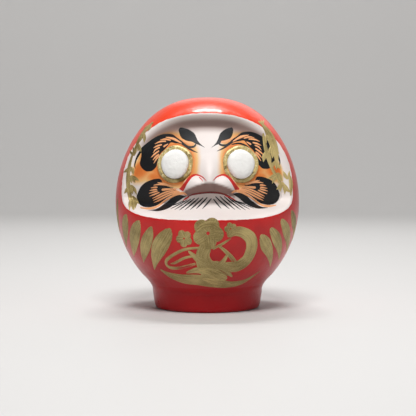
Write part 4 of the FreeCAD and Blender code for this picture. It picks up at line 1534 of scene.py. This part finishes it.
class DARUMA_OT_stage(bpy.types.Operator):
    """Pale floor that sweeps up all round, soft lights and the camera"""
    bl_idname = "daruma.stage"
    bl_label = "Stage"

    def floor(self, stage):
        """A flat disc whose edge sweeps up a quarter circle into a wall."""
        bend = np.linspace(0.0, math.pi / 2, 25)
        out, rise = FLOOR_FLAT + FLOOR_SWEEP * np.sin(bend), FLOOR_SWEEP - FLOOR_SWEEP * np.cos(bend)
        profile = np.vstack(((0.0, 0.0), (FLOOR_INNER, 0.0), np.stack((out, rise), -1),
                             (FLOOR_FLAT + FLOOR_SWEEP, FLOOR_TOP)))
        angle = np.linspace(0.0, 2 * math.pi, FLOOR_ROUND)
        points = np.stack((np.outer(np.cos(angle), profile[:, 0]),
                           np.outer(np.sin(angle), profile[:, 0]),
                           np.broadcast_to(profile[:, 1], (FLOOR_ROUND, len(profile)))), -1)
        mesh = bpy.data.meshes.new("floor")
        mesh.from_pydata(points.reshape(-1, 3).tolist(), [],
                         grid_quads(FLOOR_ROUND, len(profile)).tolist())
        mesh.polygons.foreach_set("use_smooth", np.ones(len(mesh.polygons), dtype=bool))
        mesh.materials.append(finish_named("pale_floor", make_floor, stage))
        piece = bpy.data.objects.new("floor", mesh)
        bpy.context.scene.collection.objects.link(piece)

    def lamp(self, name, place, target, size, power):
        """A rectangular soft light aimed at a point."""
        light = bpy.data.lights.new(name, "AREA")
        light.shape = "RECTANGLE"
        light.size, light.size_y = size
        light.energy = power
        holder = bpy.data.objects.new(name, light)
        holder.location = place
        holder.rotation_euler = (Vector(target) - Vector(place)).to_track_quat("-Z", "Y").to_euler()
        bpy.context.scene.collection.objects.link(holder)

    def camera(self, stage):
        """The camera in front of the doll, tilted slightly down."""
        data = bpy.data.cameras.new("camera")
        data.lens = stage.lens
        data.sensor_width = SENSOR_MM
        data.clip_start, data.clip_end = NEAREST, FARTHEST
        camera = bpy.data.objects.new("camera", data)
        camera.location = (stage.aside, -stage.distance, stage.eye_level)
        camera.rotation_euler = (math.pi / 2 - stage.tilt, 0.0, 0.0)
        bpy.context.scene.collection.objects.link(camera)
        bpy.context.scene.camera = camera

    def execute(self, context):
        stage = context.scene.daruma.stage
        self.floor(stage)
        for lamp in LAMPS:
            self.lamp(*lamp)
        world = bpy.data.worlds.new("studio")
        world.use_nodes = True
        background = world.node_tree.nodes["Background"]
        background.inputs["Color"].default_value = WORLD_TINT
        background.inputs["Strength"].default_value = WORLD_STRENGTH
        context.scene.world = world
        context.scene.view_settings.view_transform = "Standard"
        self.camera(stage)
        return {"FINISHED"}


OPERATORS = (
    DARUMA_OT_shell,
    DARUMA_OT_foot,
    DARUMA_OT_eyes,
    DARUMA_OT_brows,
    DARUMA_OT_whiskers,
    DARUMA_OT_red_lines,
    DARUMA_OT_gold_marks,
    DARUMA_OT_inner_parts,
    DARUMA_OT_stage,
)


class DARUMA_PT_panel(bpy.types.Panel):
    """The doll's pieces and settings"""
    bl_label = "Daruma"
    bl_idname = "DARUMA_PT_panel"
    bl_space_type = "VIEW_3D"
    bl_region_type = "UI"
    bl_category = "Daruma"

    def draw(self, context):
        column = self.layout.column()
        for operator in OPERATORS:
            column.operator(operator.bl_idname)


def register():
    """Make the settings, the operators and the panel known."""
    for kind in (*GROUPS, DarumaSettings, *OPERATORS, DARUMA_PT_panel):
        bpy.utils.register_class(kind)
    bpy.types.Scene.daruma = PointerProperty(type=DarumaSettings)


def unregister():
    """Take them away again."""
    del bpy.types.Scene.daruma
    for kind in reversed((*GROUPS, DarumaSettings, *OPERATORS, DARUMA_PT_panel)):
        bpy.utils.unregister_class(kind)


def main():
    """Build everything in order."""
    register()
    for operator in OPERATORS:
        getattr(bpy.ops.daruma, operator.bl_idname.split(".")[1])()


if __name__ == "__main__":
    main()
